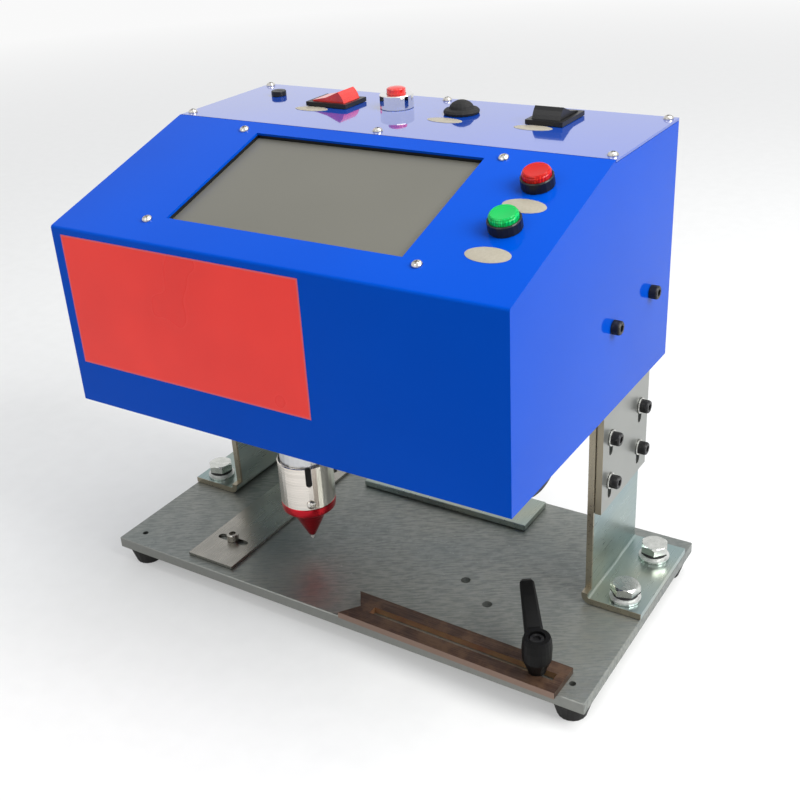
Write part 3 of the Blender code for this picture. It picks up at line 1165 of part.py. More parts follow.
def build_electronics():
    rear = CROSS_PLATE_Y + CROSS_PLATE_THICK
    low = WING_BOTTOM
    soften(block("power_supply", ALUMINIUM_LOOK, (SUPPLY_LEFT_X, rear + SEAT, low),
                 (SUPPLY_LEFT_X + SUPPLY_WIDTH, rear + SEAT + SUPPLY_DEPTH,
                  low + SUPPLY_HEIGHT)))
    left = SUPPLY_LEFT_X + SUPPLY_WIDTH + BOARD_POST_SET
    face = rear + SEAT + BOARD_STANDOFF
    board = block("control_board", BOARD_LOOK, (left, face, low),
                  (left + BOARD_WIDTH, face + BOARD_THICK, low + BOARD_HEIGHT))
    for across in (left + BOARD_POST_SET, left + BOARD_WIDTH - BOARD_POST_SET):
        for up in (low + BOARD_POST_SET, low + BOARD_HEIGHT - BOARD_POST_SET):
            post = rod(f"post_{across:.3f}_{up:.3f}", None, BOARD_POST_R,
                       (across, rear + SEAT, up), (across, face + BOARD_THICK / 2, up), 12)
            boolean(board, post, "UNION")


# Wiring loop: one smooth sag between two clamps on the right side plate
def build_wiring_loop():
    span = LOOP_REAR_Y - LOOP_FRONT_Y
    curve = bpy.data.curves.new("wiring_loop", "CURVE")
    curve.dimensions = "3D"
    curve.bevel_depth = LOOP_R
    curve.bevel_resolution = 2
    curve.use_fill_caps = True
    curve.resolution_u = 1
    spline = curve.splines.new("POLY")
    spline.points.add(LOOP_STEPS)
    for step, point in enumerate(spline.points):
        turn = math.pi * step / LOOP_STEPS
        along = LOOP_FRONT_Y + span * (1 - math.cos(turn)) / 2
        point.co = (LOOP_X, along, LOOP_TOP - LOOP_DROP * math.sqrt(math.sin(turn)), 1)
    source = bpy.data.objects.new("wiring_loop_curve", curve)
    bpy.context.scene.collection.objects.link(source)
    graph = bpy.context.evaluated_depsgraph_get()
    mesh = bpy.data.meshes.new_from_object(source.evaluated_get(graph))
    work = bmesh.new()
    work.from_mesh(mesh)
    bmesh.ops.remove_doubles(work, verts=work.verts[:], dist=MERGE)
    work.to_mesh(mesh)
    work.free()
    bpy.data.objects.remove(source, do_unlink=True)
    loop = add_object("wiring_loop", mesh, RUBBER_LOOK)
    for end, along in (("front", LOOP_FRONT_Y), ("rear", LOOP_REAR_Y)):
        grow(loop, f"loop_clamp_{end}",
             (LOOP_X - LOOP_CLAMP / 2, along - LOOP_CLAMP / 2, LOOP_TOP - SOFT_EDGE),
             (PLATE_INNER_X - SEAT, along + LOOP_CLAMP / 2, LOOP_TOP + LOOP_CLAMP))


build_base()
build_feet()
build_bracket(-1, "left_bracket")
build_bracket(1, "right_bracket")
for bolt_name, bolt_side, bolt_number, bolt_turn in (
        ("bolt_left_front", -1, 0, math.radians(46)), ("bolt_left_rear", -1, 1, math.radians(10)),
        ("bolt_right_front", 1, 0, math.radians(46)), ("bolt_right_rear", 1, 1, math.radians(19))):
    build_bolt(bolt_name, bolt_side, bolt_number, bolt_turn)
build_slide_screws()
build_lift_frame()
build_housing()
build_top_panel()
build_display()
build_button("red", RED_PLASTIC, BUTTON_RED_UP)
build_button("green", GREEN_PLASTIC, BUTTON_GREEN_UP)
build_chrome_button()
build_rocker("power", RED_PLASTIC, POWER_X, POWER_Y, 0)
build_rocker("light", BLACK_PLASTIC, LIGHT_X, LIGHT_Y, -math.pi / 2)
build_fuse()
build_dust_cap()
build_stop_plate()
build_fence()
build_clamp_bar()
build_lever()
build_head()
build_gantry()
build_electronics()
build_wiring_loop()

# Stand the machine on its table
TO_TABLE = Vector((0, -(HOUSING_FRONT_Y + HOUSING_REAR_Y) / 2, -TABLE))
for body in list(PARTS.objects) + list(CUTTERS.objects):
    body.location += TO_TABLE
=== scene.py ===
import math

import bmesh
import bpy
from mathutils import Matrix, Vector


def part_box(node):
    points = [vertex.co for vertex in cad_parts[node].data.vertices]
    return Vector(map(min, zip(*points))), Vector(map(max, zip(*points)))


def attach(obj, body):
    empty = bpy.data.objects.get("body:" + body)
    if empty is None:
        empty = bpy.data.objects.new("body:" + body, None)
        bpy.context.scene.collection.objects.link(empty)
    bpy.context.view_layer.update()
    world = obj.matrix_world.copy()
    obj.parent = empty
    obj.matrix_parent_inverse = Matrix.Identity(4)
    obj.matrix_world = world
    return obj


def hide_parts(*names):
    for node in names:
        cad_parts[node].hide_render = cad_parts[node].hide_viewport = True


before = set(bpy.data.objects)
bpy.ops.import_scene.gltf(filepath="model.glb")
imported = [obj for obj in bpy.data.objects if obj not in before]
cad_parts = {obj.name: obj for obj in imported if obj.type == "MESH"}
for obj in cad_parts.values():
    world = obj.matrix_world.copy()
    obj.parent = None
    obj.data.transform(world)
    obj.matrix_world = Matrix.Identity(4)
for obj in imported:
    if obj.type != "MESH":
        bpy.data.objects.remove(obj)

scene = bpy.context.scene
scene.view_settings.view_transform = "Standard"
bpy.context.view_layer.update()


# Camera: it stands at the front right, a little above the machine, and looks down on it.
# Its place, turn and lens were worked out from the corners of the bed plate and the cover.
eye = Vector((0.3703, -0.5356, 0.4709))
heading, dip, lean = -0.5879, 0.4781, -0.0615
ahead = Vector((math.sin(heading) * math.cos(dip), math.cos(heading) * math.cos(dip), -math.sin(dip)))
level = Vector((math.cos(heading), -math.sin(heading), 0))
above = level.cross(ahead)
right = level * math.cos(lean) + above * math.sin(lean)
upward = above * math.cos(lean) - level * math.sin(lean)
camera = bpy.data.objects.new("camera", bpy.data.cameras.new("camera"))
camera.data.lens = 51.04
camera.data.sensor_width = 36
camera.data.shift_x = 0.0041
camera.data.shift_y = 0.0024
camera.matrix_world = Matrix.Translation(eye) @ Matrix((right, upward, -ahead)).transposed().to_4x4()
scene.collection.objects.link(camera)
scene.camera = camera


# Floor, lamps and room: a plain pale sheet that keeps the machine's shadow, under three
# soft lamps in an even pale room. Both show their pale tone to the camera and in metal
# and glass, and cast only a plain light on the machine.
class Term:
    """A shader socket that can be used in sums; each sum adds its Math node."""

    def __init__(self, shades, socket):
        self.shades = shades
        self.socket = socket

    def sum_with(self, operation, first, second):
        return self.shades.node("ShaderNodeMath", {"operation": operation}, {0: first, 1: second})

    def __add__(self, other):
        return self.sum_with("ADD", self, other)

    def __radd__(self, other):
        return self.sum_with("ADD", other, self)

    def __sub__(self, other):
        return self.sum_with("SUBTRACT", self, other)

    def __rsub__(self, other):
        return self.sum_with("SUBTRACT", other, self)

    def __mul__(self, other):
        return self.sum_with("MULTIPLY", self, other)

    def __rmul__(self, other):
        return self.sum_with("MULTIPLY", other, self)

    def __gt__(self, other):
        return self.sum_with("GREATER_THAN", self, other)

    def __lt__(self, other):
        return self.sum_with("LESS_THAN", self, other)

    def __abs__(self):
        return self.sum_with("ABSOLUTE", self, 0.0)


class Shades:
    """A tree of shader nodes, with one method that adds a node of any kind."""

    def __init__(self, tree):
        self.tree = tree

    def link(self, socket, value):
        if isinstance(value, Term):
            self.tree.links.new(value.socket, socket)
        else:
            socket.default_value = value

    def node(self, kind, settings, inputs, output=0):
        made = self.tree.nodes.new(kind)
        for key, value in settings.items():
            if key == "stops":
                while len(made.color_ramp.elements) < len(value):
                    made.color_ramp.elements.new(0.5)
                for element, (position, colour) in zip(made.color_ramp.elements, value):
                    element.position = position
                    element.color = (*colour, 1.0)
            else:
                setattr(made, key, value)
        for key, value in inputs.items():
            self.link(made.inputs[key], value)
        return Term(self, made.outputs[output])

    def shows_background(self):
        """1 for the rays that show the pale background, 0 for those that light the machine."""
        shown = self.node("ShaderNodeLightPath", {}, {}, "Is Camera Ray")
        for kind in ("Is Transmission Ray", "Is Glossy Ray"):
            ray = self.node("ShaderNodeLightPath", {}, {}, kind)
            shown = self.node("ShaderNodeMath", {"operation": "MAXIMUM"}, {0: shown, 1: ray})
        return shown


class Finish(Shades):
    """One surface finish: a Principled material, with its patterns and masks."""

    def __init__(self, name, colour, roughness, metallic=0.0, **extra):
        self.material = bpy.data.materials.new(name)
        self.material.use_nodes = True
        self.material.diffuse_color = (*colour, 1.0)
        super().__init__(self.material.node_tree)
        self.shader = self.tree.nodes["Principled BSDF"]
        self.place = self.node("ShaderNodeTexCoord", {}, {}, "Object")
        self.set("Base Color", (*colour, 1.0))
        self.set("Roughness", roughness)
        self.set("Metallic", metallic)
        for key, value in extra.items():
            self.set(key.replace("_", " "), value)

    def set(self, name, value):
        self.link(self.shader.inputs[name], value)

    def axis(self, letter):
        return self.node("ShaderNodeSeparateXYZ", {}, {0: self.place}, letter)

    def between(self, letter, low, high):
        """1 where the place on that axis lies between low and high, else 0."""
        return (self.axis(letter) > low) * (self.axis(letter) < high)

    def stretched(self, across, along, up):
        return self.node("ShaderNodeMapping", {}, {"Vector": self.place, "Scale": (across, along, up)})

    def noise(self, scale, detail=3.0, where=None, rough=0.55):
        sockets = {"Vector": where or self.place, "Scale": scale, "Detail": detail, "Roughness": rough}
        return self.node("ShaderNodeTexNoise", {}, sockets)

    def ramp(self, factor, low, high):
        """0 below low, 1 above high, straight in between."""
        return self.node("ShaderNodeMapRange", {}, {"Value": factor, "From Min": low, "From Max": high})

    def blend(self, factor, first, second):
        """A colour that goes from the first to the second as the factor goes from 0 to 1."""
        first, second = (value if isinstance(value, Term) else (*value, 1.0) for value in (first, second))
        return self.node("ShaderNodeMix", {"data_type": "RGBA"}, {0: factor, 6: first, 7: second}, 2)

    def bump(self, height, strength, distance):
        self.set("Normal", self.node("ShaderNodeBump", {},
                                     {"Height": height, "Strength": strength, "Distance": distance}))

    def cover(self, *pieces):
        """Gives pieces, or CAD nodes by name, this finish, smooth but for their sharp edges."""
        for piece in pieces:
            mesh = (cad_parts[piece] if isinstance(piece, str) else piece).data
            mesh.materials.clear()
            mesh.materials.append(self.material)
            mesh.shade_smooth()
            mesh.set_sharp_from_angle(angle=math.radians(31))


def placed(name, data):
    """Puts a mesh or a lamp in the scene as an object."""
    piece = bpy.data.objects.new(name, data)
    scene.collection.objects.link(piece)
    return piece


floor_reach, floor_gap = 9, 0.0004
floor_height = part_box("foot_front_left")[0][2] - floor_gap
floor_mesh = bpy.data.meshes.new("floor")
floor_mesh.from_pydata([(floor_reach * across, floor_reach * along, floor_height)
                        for across, along in ((-1, -1), (1, -1), (1, 1), (-1, 1))], [], [(0, 1, 2, 3)])
floor = placed("floor", floor_mesh)
pale = (0.95, 0.95, 0.95, 1.0)
added_glow = 0.30
fade_start, fade_end = 0.9, 2.6
floor_paint = Finish("floor_paint", (0.55, 0.55, 0.54), 0.9)
grain = floor_paint.ramp(floor_paint.noise(60.0), 0.3, 0.7)
floor_paint.set("Base Color", floor_paint.blend(grain, (0.54, 0.54, 0.53), (0.56, 0.56, 0.55)))
shown = floor_paint.shows_background()
painted = Term(floor_paint, floor_paint.shader.outputs[0])
glow = floor_paint.node("ShaderNodeEmission", {}, {"Strength": added_glow})
glowing = floor_paint.node("ShaderNodeAddShader", {}, {0: painted, 1: glow})
near = floor_paint.node("ShaderNodeMixShader", {}, {0: shown, 1: painted, 2: glowing})
distance = floor_paint.node("ShaderNodeVectorMath", {"operation": "LENGTH"}, {0: floor_paint.place}, "Value")
far = floor_paint.ramp(distance, fade_start, fade_end) * shown
even = floor_paint.node("ShaderNodeEmission", {}, {"Color": pale})
faded = floor_paint.node("ShaderNodeMixShader", {}, {0: far, 1: near, 2: even})
floor_paint.link(floor_paint.tree.nodes["Material Output"].inputs[0], faded)
floor_mesh.materials.append(floor_paint.material)
lamp_aim = Vector((0, 0, 0.1))
for name, place, size, power in (("lamp_right", (1.3, -0.1, 1.2), 0.9, 29),
                                 ("lamp_front", (-0.5, -1.5, 1.5), 1.2, 9),
                                 ("lamp_top", (0.5, 0.5, 1.9), 1.2, 16)):
    lamp = placed(name, bpy.data.lights.new(name, "AREA"))
    lamp.data.size = size
    lamp.data.energy = power
    lamp.location = place
    lamp.rotation_euler = (lamp_aim - Vector(place)).to_track_quat("-Z", "Y").to_euler()
scene.world = bpy.data.worlds.new("room")
scene.world.use_nodes = True
room = Shades(scene.world.node_tree)
room_light = room.tree.nodes["Background"]
room.link(room_light.inputs["Color"], (0.92, 0.95, 1.0, 1.0))
room.link(room_light.inputs["Strength"], 0.46)
backdrop = room.node("ShaderNodeBackground", {}, {"Color": pale})
room_lit = Term(room, room_light.outputs[0])
room_shown = room.node("ShaderNodeMixShader", {}, {0: room.shows_background(), 1: room_lit, 2: backdrop})
room.link(room.tree.nodes["World Output"].inputs[0], room_shown)


# Bed plate: cold rolled steel, zinc plated and sawn to length. Rolling marks run across
# the plate, and the plating is mottled where it was handled.
sawn_skin = 0.0003
plating = Finish("bed_plating", (0.30, 0.33, 0.32), 0.34, 0.85)
rolled = plating.node("ShaderNodeMapping", {"vector_type": "TEXTURE"},
                      {"Vector": plating.place, "Rotation": (0, 0, 0.55), "Scale": (0.010, 0.0016, 0.004)})
streaks = plating.noise(1.0, 3.0, rolled)
clouds = plating.noise(16.0, 5.0)
patch = plating.ramp(plating.noise(5.0, 3.0), 0.35, 0.68)
spangle = plating.node("ShaderNodeTexVoronoi", {"feature": "F1"},
                       {"Vector": plating.place, "Scale": 420.0}, "Color")
flake = plating.ramp(spangle, 0.2, 0.9)
speck = plating.ramp(plating.noise(520.0, 2.0), 0.68, 0.74)
cool = plating.blend(plating.ramp(clouds, 0.32, 0.68), (0.175, 0.195, 0.192), (0.245, 0.255, 0.242))
warm = plating.blend(patch, cool, (0.29, 0.295, 0.26))
lined = plating.blend(plating.ramp(streaks, 0.42, 0.60) * 0.50, warm, (0.125, 0.145, 0.145))
speckled = plating.blend(flake * 0.12 + speck * 0.35, lined, (0.40, 0.415, 0.40))
sawn_front = plating.axis("Y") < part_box("base_plate")[0][1] + sawn_skin
plating.set("Base Color", plating.blend(sawn_front, speckled, (0.22, 0.225, 0.21)))
cloud_gloss = plating.ramp(clouds, 0.3, 0.7)
streak_gloss = plating.ramp(streaks, 0.4, 0.6)
plating.set("Roughness", 0.32 + 0.14 * cloud_gloss + 0.10 * streak_gloss)
plating.bump(streaks, 0.35, 0.0002)
plating.cover("base_plate")


# Feet: moulded rubber cones under the bed plate's corners, each with a recess for the
# screw that holds it.
rubber = Finish("moulded_rubber", (0.012, 0.012, 0.012), 0.75, Specular_IOR_Level=0.3)
rubber_grain = rubber.noise(2200.0, 2.0)
rubber_bloom = rubber.ramp(rubber.noise(90.0), 0.35, 0.7)
rubber.set("Base Color", rubber.blend(rubber_bloom, (0.008, 0.008, 0.008), (0.018, 0.017, 0.016)))
rubber.set("Roughness", 0.62 + 0.25 * rubber_grain)
rubber.bump(rubber_grain, 0.25, 0.0001)
rubber.cover("foot_front_left", "foot_front_right", "foot_rear_left", "foot_rear_right")


# Bent brackets, rear stop and the slotted frame that slides on the brackets: zinc plated
# steel plate. Brackets and stop have the faint yellow and blue tints of a chromate dip,
# the frame is greyer, and the sawn front edges of all but the stop are tan.
def front_edge(name, low, high):
    """The front of a node's upright plate between two heights."""
    return min(vertex.co.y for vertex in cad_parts[name].data.vertices if low < vertex.co.z < high)


sawn_tan = (0.30, 0.27, 0.205)
upright_low, upright_high = 0.0268, 0.153
bracket_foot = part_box("left_bracket")[0][1] + 0.0004
upright_front = max(front_edge("right_bracket", 0.06, 0.17), front_edge("lift_frame", 0.06, 0.14)) + sawn_skin
chromate = Finish("chromate_plating", (0.42, 0.47, 0.46), 0.30, 0.9)
dip_stops = ((0.30, (0.225, 0.32, 0.345)), (0.45, (0.285, 0.36, 0.35)), (0.60, (0.345, 0.375, 0.315)),
             (0.75, (0.27, 0.345, 0.35)))
tints = chromate.node("ShaderNodeValToRGB", {"stops": dip_stops}, {"Fac": chromate.noise(9.0, 2.0)})
drawn = chromate.noise(1.0, 3.0, chromate.stretched(700, 40, 700))
drawn_tints = chromate.blend(chromate.ramp(drawn, 0.4, 0.6) * 0.12, tints, (0.20, 0.25, 0.255))
sawn_upright = (chromate.axis("Y") < upright_front) * chromate.between("Z", upright_low, upright_high)
sawn_edge = (chromate.axis("Y") < bracket_foot) + sawn_upright
chromate.set("Base Color", chromate.blend(sawn_edge, drawn_tints, sawn_tan))
chromate.set("Roughness", 0.27 + 0.07 * chromate.ramp(drawn, 0.35, 0.65))
chromate.bump(drawn, 0.03, 0.0001)
chromate.cover("left_bracket", "right_bracket", "rear_stop_plate")
slide_zinc = Finish("slide_plate_zinc", (0.43, 0.44, 0.41), 0.36, 0.9)
slide_cloud = slide_zinc.noise(14.0, 3.0)
slide_tone = slide_zinc.ramp(slide_cloud, 0.3, 0.7)
slide_grey = slide_zinc.blend(slide_tone, (0.29, 0.30, 0.285), (0.345, 0.35, 0.33))
slide_edge = (slide_zinc.axis("Y") < upright_front) * (slide_zinc.axis("Z") < upright_high)
slide_zinc.set("Base Color", slide_zinc.blend(slide_edge, slide_grey, sawn_tan))
slide_zinc.set("Roughness", 0.32 + 0.12 * slide_cloud)
slide_zinc.bump(slide_zinc.noise(300.0, 2.0), 0.02, 0.0001)
slide_zinc.cover("lift_frame")


# Bracket bolts: bright plated hex heads, each over a black spring washer and a duller
# flat washer. They clamp the brackets to the bed plate.
bolt_end_to_washer = 0.0131
flat_washer, spring_washer = 0.0018, 0.0024
spring_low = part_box("bolt_left_front")[0][2] + bolt_end_to_washer + flat_washer
bright = Finish("bolt_plating", (0.62, 0.63, 0.61), 0.22, 1.0)
band = bright.between("Z", spring_low, spring_low + spring_washer)
dull = bright.between("Z", spring_low - flat_washer - 0.0002, spring_low)
scuff = bright.ramp(bright.noise(260.0, 4.0), 0.35, 0.7)
shine = bright.blend(scuff, (0.66, 0.67, 0.64), (0.50, 0.52, 0.49))
ringed = bright.blend(dull, shine, (0.60, 0.61, 0.59))
bright.set("Base Color", bright.blend(band, ringed, (0.012, 0.012, 0.012)))
bright.set("Metallic", 1.0 - 0.9 * band - 0.35 * dull)
bright.set("Roughness", 0.16 + 0.16 * scuff + 0.40 * band + 0.22 * dull)
bright.bump(bright.noise(900.0, 3.0), 0.08, 0.0001)
bright.cover("bolt_left_front", "bolt_left_rear", "bolt_right_front", "bolt_right_rear")


# Cap screws: black oxide socket heads with knurled sides on rolled threads. Eight clamp
# the frame to the brackets, four hold the cover on, and each is turned to its own angle.
def shaped(name, work):
    """Ends the work on a mesh and puts it in the scene as a piece."""
    mesh = bpy.data.meshes.new(name)
    work.to_mesh(mesh)
    work.free()
    return placed(name, mesh)


def turned_mesh(work, profile, sides):
    """Adds a lathe shape about Z from (radius, height) points. The points start and end on
    the axis or, round a bore, all stay off it and the shape closes on itself."""
    rings = []
    for radius, height in profile:
        if radius == 0:
            rings.append([work.verts.new((0, 0, height))])
            continue
        rings.append([work.verts.new((radius * math.cos(math.tau * step / sides),
                                      radius * math.sin(math.tau * step / sides), height))
                      for step in range(sides)])
    if profile[0][0] > 0:
        rings.append(rings[0])
    for upper, lower in zip(rings, rings[1:]):
        for step in range(sides):
            other = (step + 1) % sides
            corners = (upper[step % len(upper)], lower[step % len(lower)], lower[other % len(lower)],
                       upper[other % len(upper)])
            work.faces.new(list(dict.fromkeys(corners)))
    bmesh.ops.recalc_face_normals(work, faces=work.faces[:])


def template(name, build, cutters=()):
    """A small mesh made once, with its recesses cut, to be repeated."""
    made = []
    for number, shape in enumerate((build, *cutters)):
        work = bmesh.new()
        shape(work)
        made.append(shaped(f"{name}_{number}", work))
    body = made[0]
    for tool in made[1:]:
        cut = body.modifiers.new(tool.name, "BOOLEAN")
        cut.operation = "DIFFERENCE"
        cut.solver = "EXACT"
        cut.object = tool
    finished = bpy.data.meshes.new_from_object(body.evaluated_get(bpy.context.evaluated_depsgraph_get()))
    for piece in made:
        bpy.data.objects.remove(piece, do_unlink=True)
    return placed(name, finished)


def repeated(name, pattern, places, material):
    """Sets the pattern at each (point, direction, turn) with Geometry Nodes and makes it one plain mesh."""
    mesh = bpy.data.meshes.new(name)
    mesh.from_pydata([tuple(point) for point, direction, turn in places], [], [])
    turns = mesh.attributes.new("heading", "FLOAT_VECTOR", "POINT")
    for index, (point, direction, turn) in enumerate(places):
        lie = Vector(direction).to_track_quat("Z", "Y") @ Matrix.Rotation(turn, 3, "Z").to_quaternion()
        turns.data[index].vector = lie.to_euler()
    carrier = placed(name, mesh)
    tree = bpy.data.node_groups.new(name + "_pattern", "GeometryNodeTree")
    tree.interface.new_socket("Geometry", in_out="INPUT", socket_type="NodeSocketGeometry")
    size = tree.interface.new_socket("Size", in_out="INPUT", socket_type="NodeSocketFloat")
    tree.interface.new_socket("Geometry", in_out="OUTPUT", socket_type="NodeSocketGeometry")
    source = tree.nodes.new("NodeGroupInput")
    result = tree.nodes.new("NodeGroupOutput")
    shape = tree.nodes.new("GeometryNodeObjectInfo")
    shape.inputs["Object"].default_value = pattern
    lie = tree.nodes.new("GeometryNodeInputNamedAttribute")
    lie.data_type = "FLOAT_VECTOR"
    lie.inputs["Name"].default_value = "heading"
    spread = tree.nodes.new("GeometryNodeInstanceOnPoints")
    real = tree.nodes.new("GeometryNodeRealizeInstances")
    paint = tree.nodes.new("GeometryNodeSetMaterial")
    paint.inputs["Material"].default_value = material
    for start, end in ((source.outputs["Geometry"], spread.inputs["Points"]),
                       (shape.outputs["Geometry"], spread.inputs["Instance"]),
                       (lie.outputs["Attribute"], spread.inputs["Rotation"]),
                       (source.outputs["Size"], spread.inputs["Scale"]),
                       (spread.outputs[0], real.inputs[0]), (real.outputs[0], paint.inputs["Geometry"]),
                       (paint.outputs[0], result.inputs["Geometry"])):
        tree.links.new(start, end)
    step = carrier.modifiers.new("repeat", "NODES")
    step.node_group = tree
    step[size.identifier] = 1.0
    plain = bpy.data.meshes.new_from_object(carrier.evaluated_get(bpy.context.evaluated_depsgraph_get()))
    bpy.data.objects.remove(carrier, do_unlink=True)
    bpy.data.objects.remove(pattern, do_unlink=True)
    plain.name = name
    plain.materials.clear()
    plain.materials.append(material)
    return placed(name, plain)


def socket_head(work):
    """The head's knurled side and rounded rim, from a profile in millimetres."""
    ridges, groove, knurl_top = 36, 0.14, 4.2
    points = 2 * ridges
    rings = []
    for radius, height in ((4.25, 0.0), (4.25, 3.9), (4.05, 4.5), (3.6, 5.0), (2.75, 5.0)):
        ring = []
        for step in range(points):
            reach = (radius - groove if step % 2 and height < knurl_top else radius) / 1000
            turn = math.tau * step / points
            ring.append(work.verts.new((reach * math.cos(turn), reach * math.sin(turn), height / 1000)))
        rings.append(ring)
    for lower, upper in zip(rings, rings[1:]):
        for step in range(points):
            other = (step + 1) % points
            work.faces.new((lower[step], lower[other], upper[other], upper[step]))
    work.faces.new(rings[0][::-1])
    work.faces.new(rings[-1])


def socket_screw(reach):
    """A cap screw whose shank goes that far below its head, with a rolled thread."""
    thread_radius, thread_depth, half_pitch, overlap = 0.0025, 0.00025, 0.0004, 0.0002

    def build(work):
        socket_head(work)
        turns = int(reach / half_pitch)
        thread = [(thread_radius - thread_depth * (step % 2), overlap - reach * step / turns)
                  for step in range(turns + 1)]
        turned_mesh(work, [(0, overlap)] + thread + [(0, overlap - reach)], 24)
    return build


def hex_key(work):
    key_radius, key_depth, key_middle = 0.0023, 0.0056, 0.0052
    bmesh.ops.create_cone(work, cap_ends=True, segments=6, radius1=key_radius, radius2=key_radius,
                          depth=key_depth, matrix=Matrix.Translation((0, 0, key_middle)))


oxide = Finish("black_oxide", (0.016, 0.016, 0.017), 0.38, 0.55)
oxide_wear = oxide.ramp(oxide.noise(420.0, 4.0), 0.52, 0.78)
oxide.set("Base Color", oxide.blend(oxide_wear, (0.014, 0.014, 0.015), (0.060, 0.058, 0.055)))
oxide.set("Roughness", 0.34 + 0.18 * oxide.noise(900.0))
oxide.bump(oxide.noise(1500.0), 0.10, 0.0001)
head_height = 0.005
slide_shank, cover_shank = 0.0086, 0.0050
slide_places = []
slide_nodes = [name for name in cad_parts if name.startswith("slide_screw_")]
for number, name in enumerate(sorted(slide_nodes)):
    low, high = (Vector(corner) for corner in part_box(name))
    side = 1 if low.x > 0 else -1
    seat = (high.x - head_height) if side > 0 else (low.x + head_height)
    slide_places.append(((seat, (low.y + high.y) / 2, (low.z + high.z) / 2), (side, 0, 0), 0.5 * number))
slide_screws = repeated("slide_screws", template("slide_screw", socket_screw(slide_shank), (hex_key,)),
                        slide_places, oxide.material)
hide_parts(*slide_nodes)
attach(slide_screws, "base")
cover_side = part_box("housing")[1][0] + 0.0004
cover_screw_height, cover_screw_depths = 0.2083, (0.0174, 0.0754)
cover_places = [((side * cover_side, along, cover_screw_height), (side, 0, 0), 0.3 + along * 20)
                for side in (-1, 1) for along in cover_screw_depths]
cover_screws = repeated("cover_screws", template("cover_screw", socket_screw(cover_shank), (hex_key,)),
                        cover_places, oxide.material)
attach(cover_screws, "marking_unit")


# Washers under the slide screws: thin rings stamped from bright steel. Each is pressed
# between a head and its slot, and shows all round the black head.
def thin_washer(work):
    turned_mesh(work, [(0, 0.0009), (0.0049, 0.0009), (0.0052, 0.0007), (0.0052, 0.0001), (0.0050, 0.0),
                       (0, 0.0)], 40)


washer_drop = 0.0010
washer_steel = Finish("washer_steel", (0.60, 0.60, 0.58), 0.25, 1.0)
washer_rub = washer_steel.ramp(washer_steel.noise(600.0, 3.0), 0.35, 0.7)
washer_steel.set("Base Color", washer_steel.blend(washer_rub, (0.64, 0.64, 0.61), (0.42, 0.42, 0.40)))
washer_steel.set("Roughness", 0.20 + 0.18 * washer_rub)
washer_places = [((x - side[0] * washer_drop, y, z), side, turn) for (x, y, z), side, turn in slide_places]
washers = repeated("slide_washers", template("thin_washer", thin_washer), washer_places,
                   washer_steel.material)
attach(washers, "base")


# Cover and top panel: bent sheet steel under a thick coat of glossy blue enamel, with the
# faint ripple of sprayed paint. The panel is screwed on, and mirrors what stands on it
# more clearly than the cover does.
enamel = Finish("blue_enamel", (0.0, 0.066, 0.50), 0.08, 0.0, IOR=1.33, Specular_IOR_Level=0.15,
                Specular_Tint=(0.1, 0.5, 1.0, 1.0))
enamel_tone = enamel.ramp(enamel.noise(7.0, 2.0), 0.3, 0.7)
enamel.set("Base Color", enamel.blend(enamel_tone, (0.0, 0.062, 0.47), (0.0, 0.070, 0.52)))
dust = enamel.ramp(enamel.noise(1800.0, 2.0), 0.70, 0.80)
enamel.set("Roughness", 0.05 + 0.04 * enamel_tone + 0.20 * dust)
enamel.bump(enamel.noise(240.0, 2.0), 0.012, 0.001)
enamel.cover("housing")
deck_enamel = Finish("deck_enamel", (0.0, 0.058, 0.43), 0.10, 0.0, Coat_Weight=1.0, Coat_Roughness=0.015)
deck_tone = deck_enamel.ramp(deck_enamel.noise(7.0, 2.0), 0.3, 0.7)
deck_enamel.set("Base Color", deck_enamel.blend(deck_tone, (0.0, 0.055, 0.40), (0.001, 0.065, 0.46)))
deck_enamel.set("Roughness", 0.07 + 0.05 * deck_tone)
deck_enamel.bump(deck_enamel.noise(240.0, 2.0), 0.010, 0.001)
deck_enamel.cover("top_panel")


# Sticker: a sheet of printed red vinyl on the cover's front, left bare, with a thin
# paler cut edge and a few shallow bubbles under it.
sticker_low = Vector((-0.1434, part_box("housing")[0][1], 0.1808))
sticker_wide, sticker_tall, sticker_thick = 0.1725, 0.0822, 0.00018
bubble_height, glue_gap = 0.00006, 0.00002
columns, rows = 34, 16
stride = columns + 1
corners = []
for layer in (0, 1):
    for row in range(rows + 1):
        for column in range(stride):
            across, up = column / columns, row / rows
            bubble = bubble_height * math.sin(9.1 * across + 3.3 * up) * math.sin(2.7 * across - 11.0 * up)
            lift = glue_gap if layer == 0 else sticker_thick + bubble
            corners.append((sticker_low.x + across * sticker_wide, sticker_low.y - lift,
                            sticker_low.z + up * sticker_tall))
layer_size = (rows + 1) * stride
faces = []
for row in range(rows):
    for column in range(columns):
        start = row * stride + column
        quad = (start, start + 1, start + stride + 1, start + stride)
        faces.append(tuple(corner + layer_size for corner in quad))
        faces.append(quad[::-1])
outline = list(range(stride))
outline += [row * stride + columns for row in range(1, rows + 1)]
outline += [rows * stride + column for column in range(columns - 1, -1, -1)]
outline += [row * stride for row in range(rows - 1, 0, -1)]
for first, second in zip(outline, outline[1:] + outline[:1]):
    faces.append((first, second, second + layer_size, first + layer_size))
sticker_mesh = bpy.data.meshes.new("front_sticker")
sticker_mesh.from_pydata(corners, [], faces)
sticker = placed("front_sticker", sticker_mesh)
vinyl = Finish("red_vinyl", (0.80, 0.035, 0.025), 0.30, 0.0, Specular_IOR_Level=0.35)
margin = 0.0009
inside_x = vinyl.between("X", sticker_low.x + margin, sticker_low.x + sticker_wide - margin)
inside_z = vinyl.between("Z", sticker_low.z + margin, sticker_low.z + sticker_tall - margin)
print_tone = vinyl.ramp(vinyl.noise(14.0, 2.0), 0.3, 0.7)
